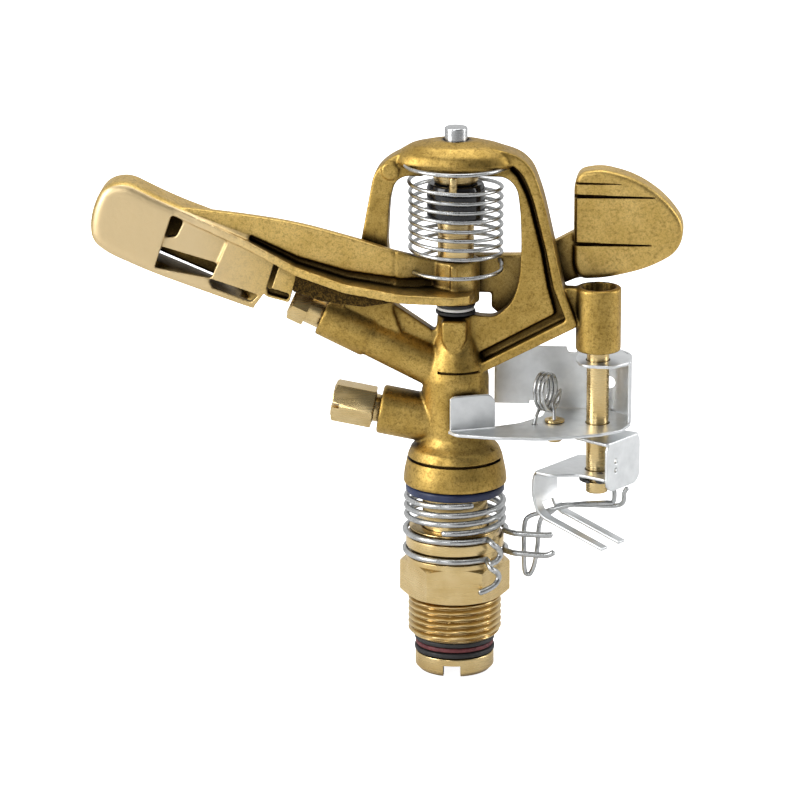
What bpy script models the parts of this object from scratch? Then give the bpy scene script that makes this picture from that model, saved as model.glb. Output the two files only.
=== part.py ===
"""Part-circle impact sprinkler on a 3/4 inch male inlet, modelled in metres.

Z is the axis that the head turns on, with zero at the bottom of the slotted bearing tube.
The jet leaves towards -X and the trip shaft stands at +X. The front of the sprinkler faces -Y.
Lengths below are written in millimetres times MM.
"""

import math

import bmesh
import bpy
from mathutils import Vector

MM = 0.001
GAP = 0.3
ROUND_STEPS = 32
SMALL_STEPS = 16
WIRE_SIDES = 2

# Inlet stack on the Z axis: outer radii and heights.
FLANGE_RADIUS = 11.15
FLANGE_TOP = 5.35
TUBE_RADIUS = 9.2
TUBE_BORE = 7.6
TUBE_TOP = 62.0
SEAL_BORE = 9.5
SEAL_RADIUS = 11.4
THREAD_RADIUS = 13.22
THREAD_ROOT = 12.1
THREAD_PITCH = 1.814
CORE_RADIUS = 13.32
NIPPLE_BOTTOM = 10.4
HEX_BOTTOM = 22.4
HEX_TOP = 32.6
HEX_FLATS = 27.0
HEX_TURN = math.radians(34.0)
COLLAR_RADIUS = 13.9
COLLAR_TOP = 42.2
CLIP_GROOVE_RADIUS = 12.8
LOWER_CLIP_HEIGHT = 35.3
UPPER_CLIP_HEIGHT = 41.0
CLIP_RING_RADIUS = 14.05
CLIP_WIRE = 1.75
PRESSURE_SPRING_RADIUS = 13.65
PRESSURE_SPRING_WIRE = 1.9

# Rotating head.
BELL_RADIUS = 14.25
BELL_BOTTOM = 55.1
NECK_RADIUS = 9.5
POST_RADIUS = 5.2
POST_TOP = 104.0
JET_RISE = math.radians(24.4)
JET_HEIGHT = 86.0
RANGE_TUBE_RADIUS = 5.7
RANGE_TUBE_MOUTH = 41.0
SPREADER_RISE = math.radians(10.0)
SPREADER_HEIGHT = 72.0
LEG_DEPTH = 7.0
WEB_DEPTH = 4.4
RIM_DEPTH = 9.2
DOME_UNDERSIDE = 143.6
DOME_TOP = 153.4
SLEEVE_RADIUS = 6.4
SLEEVE_BOTTOM = 94.3
SLEEVE_TOP = 112.6

# Arm and its bearings on the fulcrum pin.
PIN_RADIUS = 3.2
PIN_BOTTOM = 96.3
PIN_TOP = 157.5
PIN_BORE = 3.5
HUB_RADIUS = 6.8
HUB_BOTTOM = 107.6
HUB_TOP = 119.8
ARM_WEB_FRONT = -8.8
ARM_WEB_BACK = -5.6
ROOT_TURN = math.radians(18.0)
SPOON_FRONT = -9.6
SPOON_BACK = 4.0
ARM_SPRING_RADIUS = 12.8
ARM_SPRING_WIRE = 1.1

# Trip gear on the shaft beside the head.
SHAFT_X = 40.0
SHAFT_RADIUS = 3.15
SHAFT_BOTTOM = 53.0
SHAFT_TOP = 105.0
SHEET = 0.9
REVERSE_FLOOR = 72.3
REVERSE_ROOF = 90.6
TRIP_FLOOR = 58.7
TRIP_ROOF = 69.2
TRIP_TURN = math.radians(-33.0)
TRIP_WIRE = 1.4

scene_collection = bpy.context.scene.collection


def clear_scene():
    """Remove every object that the scene starts with."""
    for thing in list(bpy.data.objects):
        bpy.data.objects.remove(thing, do_unlink=True)


def new_collection(name):
    collection = bpy.data.collections.new(name)
    scene_collection.children.link(collection)
    return collection


def finish(name, colour, roughness, metallic):
    """A Principled material with one colour."""
    material = bpy.data.materials.new(name)
    material.use_nodes = True
    shader = material.node_tree.nodes["Principled BSDF"]
    shader.inputs["Base Color"].default_value = (*colour, 1.0)
    shader.inputs["Roughness"].default_value = roughness
    shader.inputs["Metallic"].default_value = metallic
    return material


def place(name, mesh, material):
    """Put a mesh in the model's collection as a named object."""
    thing = bpy.data.objects.new(name, mesh)
    if not mesh.materials:
        mesh.materials.append(material)
    parts.objects.link(thing)
    return thing


def corner_arc(before, corner, after, radius, steps):
    """Points that round one corner of an outline."""
    corner = Vector(corner)
    towards_before = (Vector(before) - corner).normalized()
    towards_after = (Vector(after) - corner).normalized()
    half = towards_before.angle(towards_after) / 2
    reach = radius / math.tan(half)
    centre = corner + (towards_before + towards_after).normalized() * (radius / math.sin(half))
    start = corner + towards_before * reach - centre
    end = corner + towards_after * reach - centre
    sweep = start.angle_signed(end)
    points = []
    for step in range(steps + 1):
        turn = -sweep * step / steps
        spoke = Vector((
            start.x * math.cos(turn) - start.y * math.sin(turn),
            start.x * math.sin(turn) + start.y * math.cos(turn),
        ))
        points.append(tuple(centre + spoke))
    return points


def outline(corners, steps=3):
    """A closed outline from (x, y, corner radius) rows, in millimetres."""
    points = []
    count = len(corners)
    for index, (x, y, radius) in enumerate(corners):
        if radius == 0:
            points.append((x, y))
            continue
        before = corners[index - 1][:2]
        after = corners[(index + 1) % count][:2]
        points += corner_arc(before, (x, y), after, radius, steps)
    return points


def slab(name, points, low, high, material, lay="flat"):
    """An outline given a depth: flat lies in XY from z=low to high, upright in XZ from y=low to high."""
    curve = bpy.data.curves.new(name, "CURVE")
    curve.dimensions = "2D"
    curve.fill_mode = "BOTH"
    curve.extrude = (high - low) / 2 * MM
    spline = curve.splines.new("POLY")
    spline.points.add(len(points) - 1)
    for point, (x, y) in zip(spline.points, points):
        point.co = (x * MM, y * MM, 0.0, 1.0)
    spline.use_cyclic_u = True
    guide = bpy.data.objects.new(name, curve)
    scene_collection.objects.link(guide)
    thing = place(name, solid_mesh(guide), material)
    middle = (low + high) / 2 * MM
    if lay == "flat":
        thing.location = (0, 0, middle)
    else:
        thing.location = (0, middle, 0)
        thing.rotation_euler = (math.radians(90), 0, 0)
    return thing


def solid_mesh(guide):
    """The closed mesh of a curve object, which is then removed."""
    bpy.context.view_layer.update()
    graph = bpy.context.evaluated_depsgraph_get()
    mesh = bpy.data.meshes.new_from_object(guide.evaluated_get(graph))
    shape = bmesh.new()
    shape.from_mesh(mesh)
    bmesh.ops.remove_doubles(shape, verts=shape.verts, dist=0.002 * MM)
    bmesh.ops.recalc_face_normals(shape, faces=shape.faces)
    shape.to_mesh(mesh)
    shape.free()
    bpy.data.objects.remove(guide, do_unlink=True)
    return mesh


def wire(name, points, diameter, material):
    """A round wire through points in millimetres, as a closed mesh."""
    curve = bpy.data.curves.new(name, "CURVE")
    curve.dimensions = "3D"
    curve.bevel_depth = diameter / 2 * MM
    curve.bevel_resolution = WIRE_SIDES
    curve.use_fill_caps = True
    spline = curve.splines.new("POLY")
    spline.points.add(len(points) - 1)
    for point, place_at in zip(spline.points, points):
        point.co = (place_at[0] * MM, place_at[1] * MM, place_at[2] * MM, 1.0)
    guide = bpy.data.objects.new(name, curve)
    scene_collection.objects.link(guide)
    thing = place(name, solid_mesh(guide), material)
    thing.data.shade_smooth()
    return thing


def turned(name, profile, material, steps=ROUND_STEPS, ring=False):
    """A body turned about its own Z. The profile of (radius, height) runs down its outer side."""
    mesh = bpy.data.meshes.new(name)
    points = [(radius * MM, 0, height * MM) for radius, height in profile]
    edges = [(index, index + 1) for index in range(len(points) - 1)]
    if ring:
        edges.append((len(points) - 1, 0))
    mesh.from_pydata(points, edges, [])
    thing = place(name, mesh, material)
    screw = thing.modifiers.new("turn", "SCREW")
    screw.steps = steps
    screw.render_steps = steps
    screw.use_merge_vertices = True
    screw.merge_threshold = 0.00001
    screw.use_smooth_shade = True
    return thing


def rod(name, radius, low, high, material, steps=SMALL_STEPS):
    """A plain cylinder along its own Z."""
    return turned(name, [(0, high), (radius, high), (radius, low), (0, low)], material, steps)


def prism(name, sides, flats, low, high, material, turn=0.0):
    """An upright prism with an even number of sides, sized across its flats."""
    radius = flats / 2 / math.cos(math.pi / sides)
    points = []
    for index in range(sides):
        angle = turn + math.pi / sides + 2 * math.pi * index / sides
        points.append((radius * math.cos(angle), radius * math.sin(angle)))
    return slab(name, points, low, high, material)


def aim(thing, rise, height):
    """Lay a piece that was made along Z onto a passage that rises towards -X."""
    direction = Vector((-math.cos(rise), 0, math.sin(rise)))
    thing.rotation_mode = "QUATERNION"
    along = direction.to_track_quat("Z", "Y")
    thing.location = Vector((0, 0, height * MM)) + along @ thing.location
    thing.rotation_quaternion = along
    return thing


def combine(target, other, operation):
    """Join, cut or trim a piece with another, which becomes a hidden tool that moves with it."""
    hang(target, other)
    step = target.modifiers.new(operation.lower(), "BOOLEAN")
    step.operation = operation
    step.object = other
    parts.objects.unlink(other)
    cutters.objects.link(other)
    other.hide_render = True
    other.display_type = "WIRE"
    return target


def join(target, *others):
    for other in others:
        combine(target, other, "UNION")
    return target


def cut(target, *others):
    for other in others:
        combine(target, other, "DIFFERENCE")
    return target


def arc(radius, start, end, steps, height=0.0, centre=(0.0, 0.0)):
    """Points round a level arc, with its angles in degrees."""
    points = []
    for step in range(steps + 1):
        angle = math.radians(start + (end - start) * step / steps)
        x = centre[0] + radius * math.cos(angle)
        y = centre[1] + radius * math.sin(angle)
        points.append((x, y, height))
    return points


def coil(radius, start, turns, low, pitch, steps=ROUND_STEPS // 2):
    """Points up a helix about Z that starts at an angle in degrees."""
    points = []
    for step in range(int(turns * steps) + 1):
        turn = step / steps
        angle = math.radians(start + 360 * turn)
        points.append((radius * math.cos(angle), radius * math.sin(angle), low + pitch * turn))
    return points


def pivot(name, x, height):
    """An empty on an upright joint axis."""
    empty = bpy.data.objects.new(name, None)
    empty.location = (x * MM, 0, height * MM)
    parts.objects.link(empty)
    return empty


def hang(parent, *pieces):
    """Parent pieces to a pivot and leave them where they are."""
    bpy.context.view_layer.update()
    for piece in pieces:
        piece.parent = parent
        piece.matrix_parent_inverse = parent.matrix_world.inverted()


def make_bearing_tube():
    """Slotted bottom flange and the tube that carries the water and turns in the nipple."""
    profile = [
        (TUBE_RADIUS, TUBE_TOP), (TUBE_RADIUS, FLANGE_TOP), (FLANGE_RADIUS, FLANGE_TOP),
        (FLANGE_RADIUS, 1.2), (FLANGE_RADIUS - 1.2, 0), (TUBE_BORE, 0), (TUBE_BORE, TUBE_TOP),
    ]
    tube = turned("bearing_tube", profile, machined_brass, ring=True)
    slot = slab("tube_slot", [(-2.45, -20), (2.45, -20), (2.45, 20), (-2.45, 20)], -1, 3.4, machined_brass)
    return cut(tube, slot)


def make_seals():
    """Rubber, fibre and rubber washers between the flange and the nipple, and the dust seal."""
    rows = [
        ("lower_rubber_washer", FLANGE_TOP + GAP, 7.0, SEAL_RADIUS, black_rubber),
        ("fibre_washer", 7.0 + GAP, 8.5, SEAL_RADIUS - 0.3, red_fibre),
        ("upper_rubber_washer", 8.5 + GAP, NIPPLE_BOTTOM - GAP, SEAL_RADIUS, black_rubber),
        ("dust_seal", 52.4, BELL_BOTTOM - GAP, BELL_RADIUS - 0.25, blue_rubber),
    ]
    seals = []
    for name, low, high, radius, material in rows:
        profile = [(SEAL_BORE, high), (radius, high), (radius, low), (SEAL_BORE, low)]
        seals.append(turned(name, profile, material, ring=True))
    return seals


def make_nipple():
    """Male inlet nipple: thread, spanner hexagon and the grooved collar for the trip clips."""
    profile = [(SEAL_BORE, COLLAR_TOP)]
    for clip in (UPPER_CLIP_HEIGHT, LOWER_CLIP_HEIGHT):
        profile.append((COLLAR_RADIUS, min(clip + 2.2, COLLAR_TOP)))
        profile.append((COLLAR_RADIUS, clip + 1.15))
        profile.append((CLIP_GROOVE_RADIUS, clip + 1.0))
        profile.append((CLIP_GROOVE_RADIUS, clip - 1.0))
        profile.append((COLLAR_RADIUS, clip - 1.15))
    profile.append((COLLAR_RADIUS, HEX_TOP - 0.4))
    profile.append((CORE_RADIUS, HEX_TOP - 0.8))
    profile.append((CORE_RADIUS, HEX_BOTTOM - 0.2))
    crests = int((HEX_BOTTOM - NIPPLE_BOTTOM) / THREAD_PITCH)
    for crest in range(crests):
        height = HEX_BOTTOM - (crest + 0.35) * THREAD_PITCH
        profile.append((THREAD_RADIUS, height))
        profile.append((THREAD_ROOT, height - THREAD_PITCH / 2))
    profile.append((THREAD_RADIUS - 0.5, NIPPLE_BOTTOM + 0.9))
    profile.append((THREAD_ROOT, NIPPLE_BOTTOM))
    profile.append((SEAL_BORE, NIPPLE_BOTTOM))
    nipple = turned("inlet_nipple", profile, machined_brass, ring=True)
    hexagon = prism("nipple_hexagon", 6, HEX_FLATS, HEX_BOTTOM, HEX_TOP, machined_brass, HEX_TURN)
    chamfer = turned("hexagon_chamfer", [
        (0, HEX_TOP + 1), (HEX_FLATS / 2, HEX_TOP + 1), (HEX_FLATS / 2 + 0.3, HEX_TOP),
        (HEX_FLATS / 2 + 3.0, HEX_TOP - 1.6), (HEX_FLATS / 2 + 3.0, HEX_BOTTOM - 1), (0, HEX_BOTTOM - 1),
    ], machined_brass)
    combine(hexagon, chamfer, "INTERSECT")
    bore = rod("hexagon_bore", SEAL_BORE + 1.5, HEX_BOTTOM - 2, HEX_TOP + 2, machined_brass, ROUND_STEPS)
    cut(hexagon, bore)
    return join(nipple, hexagon)


def make_clip(name, height, arm_angle, arm_length, hook_drop, material):
    """Friction clip: a sprung wire ring with one long stop arm and one short hook."""
    start = arm_angle + 30
    end = arm_angle + 360 - 34
    ring = arc(CLIP_RING_RADIUS, start, end, 22, height)
    hook_angle = math.radians(end)
    out = CLIP_RING_RADIUS + 3.4
    hook = [
        (out * math.cos(hook_angle + 0.06), out * math.sin(hook_angle + 0.06), height),
        (out * math.cos(hook_angle + 0.08), out * math.sin(hook_angle + 0.08), height - hook_drop),
    ]
    tangent = arc(CLIP_RING_RADIUS + 0.4, arm_angle + 6, arm_angle + 22, 2, height)
    reach = math.radians(arm_angle)
    arm = [
        (arm_length * math.cos(reach), arm_length * math.sin(reach), height + 0.4),
        (17.5 * math.cos(reach), 17.5 * math.sin(reach), height),
    ]
    return wire(name, arm + tangent + ring + hook, CLIP_WIRE, material)


def make_pressure_spring():
    """Compression spring that presses the washers together."""
    ends = COLLAR_TOP + GAP + PRESSURE_SPRING_WIRE / 2
    turns = coil(PRESSURE_SPRING_RADIUS, -100, 3.3, ends, 2.42)
    return wire("pressure_spring", turns, PRESSURE_SPRING_WIRE, steel)


def make_bell():
    """Bell, neck and arm post in one turned shape."""
    profile = [
        (0, POST_TOP), (POST_RADIUS, POST_TOP), (POST_RADIUS + 0.1, 98.5), (7.0, 94), (8.6, 90),
        (NECK_RADIUS, 86), (NECK_RADIUS, 68.5), (NECK_RADIUS + 0.9, 66.6), (12.6, 65.0),
        (13.5, 63.4), (BELL_RADIUS - 0.1, 58.5), (BELL_RADIUS, BELL_BOTTOM), (0, BELL_BOTTOM),
    ]
    return turned("sprinkler_body", profile, cast_brass)


def make_arch():
    """Bridge over the arm: left leg, dome and the ribbed right leg."""
    outer = outline([
        (-35, 98.8, 0), (-30.0, 107, 0), (-25.8, 124.8, 0), (-21.8, 145.0, 5), (-13, 151.6, 4),
        (13, 151.6, 4), (19.3, 148.0, 4), (23.2, 139.8, 8), (27.4, 123.0, 0), (29.4, 112.4, 0),
        (35.2, 112.2, 0),
        (35.2, 102.5, 0), (32.3, 101.2, 1.5), (5.9, 87.5, 0), (-3.6, 86.6, 0), (-7.6, 90.4, 0),
    ])
    web = slab("arch_web", outer, -WEB_DEPTH / 2, WEB_DEPTH / 2, cast_brass, "upright")
    leg = outline([
        (-36, 98.5, 0), (-30.5, 107, 0), (-26.3, 124.8, 0), (-22.3, 145.0, 5), (-17, 149.2, 3),
        (-9, 152.4, 0),
        (-9, 142.6, 0), (-17.0, 139.6, 2), (-18.9, 124.8, 0), (-17.2, 105, 0), (-14, 96, 0),
    ])
    left = slab("arch_left_leg", leg, -LEG_DEPTH / 2, LEG_DEPTH / 2, cast_brass, "upright")
    rim = outline([
        (10, 152.9, 0), (19.8, 148.9, 4), (23.8, 140, 4), (28.0, 123.2, 0), (30.2, 113, 0),
        (34.5, 101.7, 1.5),
        (5.6, 86.6, 0), (5.0, 89.6, 0), (31.0, 103.4, 1), (27.4, 113, 0), (25.4, 123.0, 0),
        (21.2, 139, 4), (17.4, 146.4, 3), (10, 149.6, 0),
    ])
    ridge = slab("arch_rim", rim, -RIM_DEPTH / 2, RIM_DEPTH / 2, cast_brass, "upright")
    window = outline([
        (-17.2, 139.6, 3), (-13.5, 143.6, 2), (13.6, 143.6, 2), (17.0, 137.6, 3), (18.6, 111.3, 2),
        (15.6, 105.6, 3), (8.6, 102.8, 0), (4.4, 104.3, 0), (-4.6, 104.3, 0), (-5.6, 99.0, 0),
        (-17.0, 106.6, 1.5), (-18.9, 124.8, 0),
    ])
    opening = slab("arch_window", window, -20, 20, cast_brass, "upright")
    return join(web, left, ridge), opening


def make_dome():
    """Oval boss that holds the top of the fulcrum pin."""
    profile = [(0, DOME_TOP), (6, DOME_TOP), (11.5, 152.4), (14.6, 150.4), (15.4, 147.6), (14.0, 145.4),
               (8, DOME_UNDERSIDE), (0, DOME_UNDERSIDE)]
    dome = turned("arch_dome", profile, cast_brass)
    dome.scale = (1.08, 0.66, 1.0)
    return dome


def make_body():
    """The cast head: bell, passages, arch and trip shaft sleeve, with all bores cut."""
    body = make_bell()
    arch, opening = make_arch()
    tube = aim(turned("range_tube", [
        (0, RANGE_TUBE_MOUTH), (6.3, RANGE_TUBE_MOUTH), (6.5, 26.5), (RANGE_TUBE_RADIUS, 25.8),
        (RANGE_TUBE_RADIUS + 0.6, 0), (0, 0),
    ], cast_brass, SMALL_STEPS + 4), JET_RISE, JET_HEIGHT)
    boss = rod("spreader_boss", 7.0, 0, 21.5, cast_brass, SMALL_STEPS + 2)
    aim(boss, SPREADER_RISE, SPREADER_HEIGHT)
    sleeve = rod("shaft_sleeve", SLEEVE_RADIUS, SLEEVE_BOTTOM, SLEEVE_TOP, cast_brass, SMALL_STEPS + 4)
    sleeve.location.x = SHAFT_X * MM
    cut(arch, opening)
    join(body, arch, make_dome(), tube, boss, sleeve)
    shaft_bore = rod("shaft_bore", SHAFT_RADIUS + GAP, SLEEVE_BOTTOM - 5, SLEEVE_TOP + 5, cast_brass)
    shaft_bore.location.x = SHAFT_X * MM
    sleeve_cup = rod("sleeve_cup", 4.8, SHAFT_TOP + 1, SLEEVE_TOP + 5, cast_brass)
    sleeve_cup.location.x = SHAFT_X * MM
    return cut(
        body,
        rod("tube_socket", TUBE_RADIUS + GAP, BELL_BOTTOM - 1, TUBE_TOP + GAP, cast_brass, ROUND_STEPS),
        rod("water_way", 6.6, TUBE_TOP - 1, 84, cast_brass),
        aim(rod("range_bore", 3.9, 0, 60, cast_brass), JET_RISE, JET_HEIGHT - 4),
        aim(rod("nozzle_socket", 4.6, RANGE_TUBE_MOUTH - 8, 60, cast_brass), JET_RISE, JET_HEIGHT),
        aim(rod("spreader_bore", 4.2, 0, 40, cast_brass), SPREADER_RISE, SPREADER_HEIGHT),
        rod("pin_socket", PIN_BORE, PIN_BOTTOM - GAP, 120, cast_brass),
        rod("dome_bore", PIN_BORE, 130, 160, cast_brass),
        shaft_bore,
        sleeve_cup,
    )


def make_main_nozzle():
    """Range nozzle: a hexagon head, a round shank and a tapered bore."""
    mouth = RANGE_TUBE_MOUTH
    nozzle = turned("main_nozzle", [
        (2.4, mouth + 9.6), (3.9, mouth + 9.6), (4.3, mouth + 9.0), (4.3, mouth + GAP), (4.3, mouth - 7.5),
        (3.4, mouth - 7.5),
    ], machined_brass, SMALL_STEPS, ring=True)
    head = prism("nozzle_hexagon", 6, 9.6, mouth + 4.2, mouth + 9.0, machined_brass, math.radians(30))
    cut(head, rod("head_bore", 3.6, mouth, mouth + 12, machined_brass))
    join(nozzle, head)
    return aim(nozzle, JET_RISE, JET_HEIGHT)


def make_spreader_nozzle():
    """Short-range nozzle: a slotted hexagon screwed into the lower boss."""
    face = 21.5 + GAP
    nozzle = turned("spreader_nozzle", [
        (1.2, face + 13.4), (4.6, face + 13.4), (4.6, face + 1.4), (3.9, face + 1.2), (3.9, face - 7),
        (2.2, face - 7),
    ], machined_brass, SMALL_STEPS, ring=True)
    head = prism("spreader_hexagon", 6, 10.6, face + 1.5, face + 13.0, machined_brass, math.radians(30))
    cut(head, rod("spreader_head_bore", 3.4, face, face + 15, machined_brass))
    join(nozzle, head)
    width = [(-8, -0.7), (8, -0.7), (8, 0.7), (-8, 0.7)]
    slot = slab("spreader_slot", width, face + 11, face + 15, machined_brass)
    return aim(cut(nozzle, slot), SPREADER_RISE, SPREADER_HEIGHT)


def make_fulcrum_pin():
    profile = [(0, PIN_TOP), (PIN_RADIUS - 0.4, PIN_TOP), (PIN_RADIUS, PIN_TOP - 0.4),
               (PIN_RADIUS, PIN_BOTTOM), (0, PIN_BOTTOM)]
    return turned("fulcrum_pin", profile, steel, SMALL_STEPS)


def make_arm_bearings():
    """Washers under the arm, and the collar and bush above it."""
    rows = [
        ("lower_arm_washer", 104.3, 105.1, 5.6, black_rubber),
        ("nylon_arm_washer", 105.4, 106.2, 5.3, white_nylon),
        ("upper_arm_washer", 106.5, 107.3, 5.6, black_rubber),
        ("arm_collar", HUB_TOP + GAP, 130.9, 5.1, machined_brass),
        ("top_bush", 131.2, 143.2, 7.7, black_plastic),
    ]
    pieces = []
    for name, low, high, radius, material in rows:
        profile = [(PIN_BORE, high), (radius, high), (radius, low), (PIN_BORE, low)]
        pieces.append(turned(name, profile, material, SMALL_STEPS + 4, ring=True))
    return pieces


def make_arm():
    """The impact arm: hub, web with its forward lip, spoon and counterweight in one casting."""
    arm = turned("impact_arm", [
        (PIN_BORE, HUB_TOP), (HUB_RADIUS, HUB_TOP), (HUB_RADIUS, HUB_BOTTOM), (PIN_BORE, HUB_BOTTOM),
    ], cast_brass, ROUND_STEPS - 8, ring=True)
    web = slab("arm_web", outline([
        (-18, 112.0, 0), (-18, 124.0, 0), (-26.2, 126.5, 0), (-43.6, 131.0, 0), (-57.7, 133.0, 0),
        (-80, 135.2, 0), (-80, 133, 0), (-57.7, 124.0, 6), (-43.6, 117.0, 6), (-31, 112.9, 6),
    ]), ARM_WEB_FRONT, ARM_WEB_BACK, cast_brass, "upright")
    root = slab("arm_root", outline([
        (0, 109.8, 0), (0, 118.6, 0), (-9.8, 121.0, 2), (-21.6, 124.6, 0), (-21.6, 112.0, 0), (-12, 110.6, 4),
    ]), -1.7, 1.7, cast_brass, "upright")
    root.rotation_euler.z = ROOT_TURN
    lip = slab("arm_lip", outline([
        (9, 111.6, 0), (-14, 112.8, 4), (-30, 115.2, 6), (-43.6, 119.3, 6), (-57.7, 126.3, 6), (-80, 137, 0),
        (-80, 134.6, 0), (-57.7, 123.8, 6), (-43.6, 116.8, 6), (-30, 112.7, 6), (-14, 110.3, 4),
        (9, 109.2, 0),
    ]), -20, 10, cast_brass, "upright")
    plan = slab("arm_lip_plan", outline([
        (8.6, -4.7, 0), (7.0, -9.5, 2), (0, -14.4, 3), (-15, -15.6, 4), (-31, -14.3, 6), (-45, -12.3, 6),
        (-60, -10.6, 0), (-82, -9.8, 0), (-82, -6.6, 0), (-10, -6.0, 0), (-6, 3, 0), (6, 3, 0),
    ]), 100, 150, cast_brass)
    combine(lip, plan, "INTERSECT")
    beam = slab("arm_tail", outline([
        (3, 108.6, 0), (3, 119.4, 0), (20, 119.8, 3), (32.0, 126.5, 0), (40, 128.5, 0), (40, 114.4, 0),
        (33.4, 113.3, 0), (28, 111.0, 3), (28, 102.4, 3), (12, 102.4, 1), (9.6, 104.4, 0), (9.6, 108.6, 0),
    ]), 5.4, 9.4, cast_brass, "upright")
    join(arm, root, web, lip, beam, make_spoon(), make_counterweight())
    return cut(arm, rod("arm_bore", PIN_BORE, 100, 125, cast_brass))


def make_spoon():
    """The end that the jet strikes: a hollow block with a front window and a slanted vane."""
    block = slab("arm_spoon", outline([
        (-101.9, 128.6, 4), (-100.9, 135.4, 4), (-97.3, 140.6, 4), (-91.5, 142.1, 4), (-79, 136.0, 0),
        (-57, 128.0, 0), (-57, 123.5, 0), (-50.4, 119.6, 0), (-43.4, 117.2, 0), (-43.4, 109.4, 0),
        (-57.6, 106.6, 1), (-83.6, 116.2, 0), (-96.6, 121.0, 4),
    ]), SPOON_FRONT, SPOON_BACK, cast_brass, "upright")
    channel = slab("jet_channel", outline([
        (-86, 119.6, 2), (-88, 131.5, 3), (-76, 134.2, 0), (-58, 128, 0), (-40, 122, 0), (-30, 122, 0),
        (-30, 98, 0), (-56, 103.5, 0), (-60, 109.0, 0),
    ]), SPOON_FRONT + 2.2, SPOON_BACK + 4, cast_brass, "upright")
    window = slab("spoon_window", outline([
        (-78.2, 132.4, 1), (-62.8, 125.4, 0.6), (-67.4, 114.9, 0.6), (-83.0, 118.8, 0.6),
    ]), SPOON_FRONT - 4, SPOON_FRONT + 4, cast_brass, "upright")
    slot = slab("spoon_slot", outline([
        (-51.6, 122, 0), (-50.2, 122, 0), (-52.0, 111.4, 0), (-53.4, 111.0, 0),
    ]), SPOON_FRONT - 4, SPOON_FRONT + 4, cast_brass, "upright")
    vane = slab("spoon_vane", outline([
        (-87.5, 132.5, 0), (-60, 131.0, 0), (-60, 121.6, 1), (-72, 123.2, 2), (-87.5, 128.4, 0),
    ]), 0.5, 3.6, cast_brass, "upright")
    cut(block, channel, window, slot)
    return join(block, vane)


def make_counterweight():
    """The flat tail weight, rounded in plan."""
    return slab("arm_weight", outline([
        (32.6, 140.0, 2), (33.6, 143.2, 2), (39, 144.6, 3), (48.5, 142.6, 6), (57, 136.9, 6),
        (63.4, 128.5, 2),
        (61.5, 122.8, 3), (54, 117.4, 6), (42, 114.2, 3), (34.8, 113.5, 1), (32.6, 118, 1),
    ], 4), 3.6, 12.0, cast_brass, "upright")


def make_arm_spring():
    """Torsion spring round the bush, with one end up at the arch and one down in the arm."""
    front = arc(ARM_SPRING_RADIUS, -149, -10, 7, 117.0)
    rise = coil(ARM_SPRING_RADIUS, -10, 0.1, 117.0, 58.0, 30)
    close = coil(ARM_SPRING_RADIUS, 26, 7.5, 122.8, 2.6)
    top = coil(ARM_SPRING_RADIUS, 206, 1.0, 122.8 + 7.5 * 2.6, 0.4)
    return wire("arm_spring", front[:-1] + rise[:-1] + close[:-1] + top, ARM_SPRING_WIRE, steel)


def make_trip_shaft():
    """Brass shaft that both levers turn on."""
    shaft = turned("trip_shaft", [
        (0, SHAFT_TOP), (SHAFT_RADIUS, SHAFT_TOP), (SHAFT_RADIUS, 57.6), (2.3, 57.6), (2.3, 56.2),
        (SHAFT_RADIUS, 56.2), (SHAFT_RADIUS, SHAFT_BOTTOM), (0, SHAFT_BOTTOM),
    ], machined_brass, SMALL_STEPS)
    shaft.location.x = SHAFT_X * MM
    return shaft


def make_shaft_clip():
    """Open retaining ring in the groove under the trip lever."""
    clip = turned("shaft_clip", [(2.6, 57.3), (5.0, 57.3), (5.0, 56.5), (2.6, 56.5)], dark_steel,
                  SMALL_STEPS, ring=True)
    clip.location.x = SHAFT_X * MM
    mouth = slab("clip_mouth", [(-1.9, -8), (1.9, -8), (1.9, 0), (-1.9, 0)], 55, 59, dark_steel)
    mouth.location.x = SHAFT_X * MM
    return cut(clip, mouth)


def sheet_wall(name, path, low, high, material):
    """An upright strip of sheet metal along a level path."""
    mesh = bpy.data.meshes.new(name)
    count = len(path)
    points = [(x * MM, y * MM, low * MM) for x, y in path] + [(x * MM, y * MM, high * MM) for x, y in path]
    faces = [(index, index + 1, index + 1 + count, index + count) for index in range(count - 1)]
    mesh.from_pydata(points, [], faces)
    wall = place(name, mesh, material)
    skin = wall.modifiers.new("sheet", "SOLIDIFY")
    skin.thickness = SHEET * MM
    skin.offset = 0
    skin.use_even_offset = True
    return wall


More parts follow.
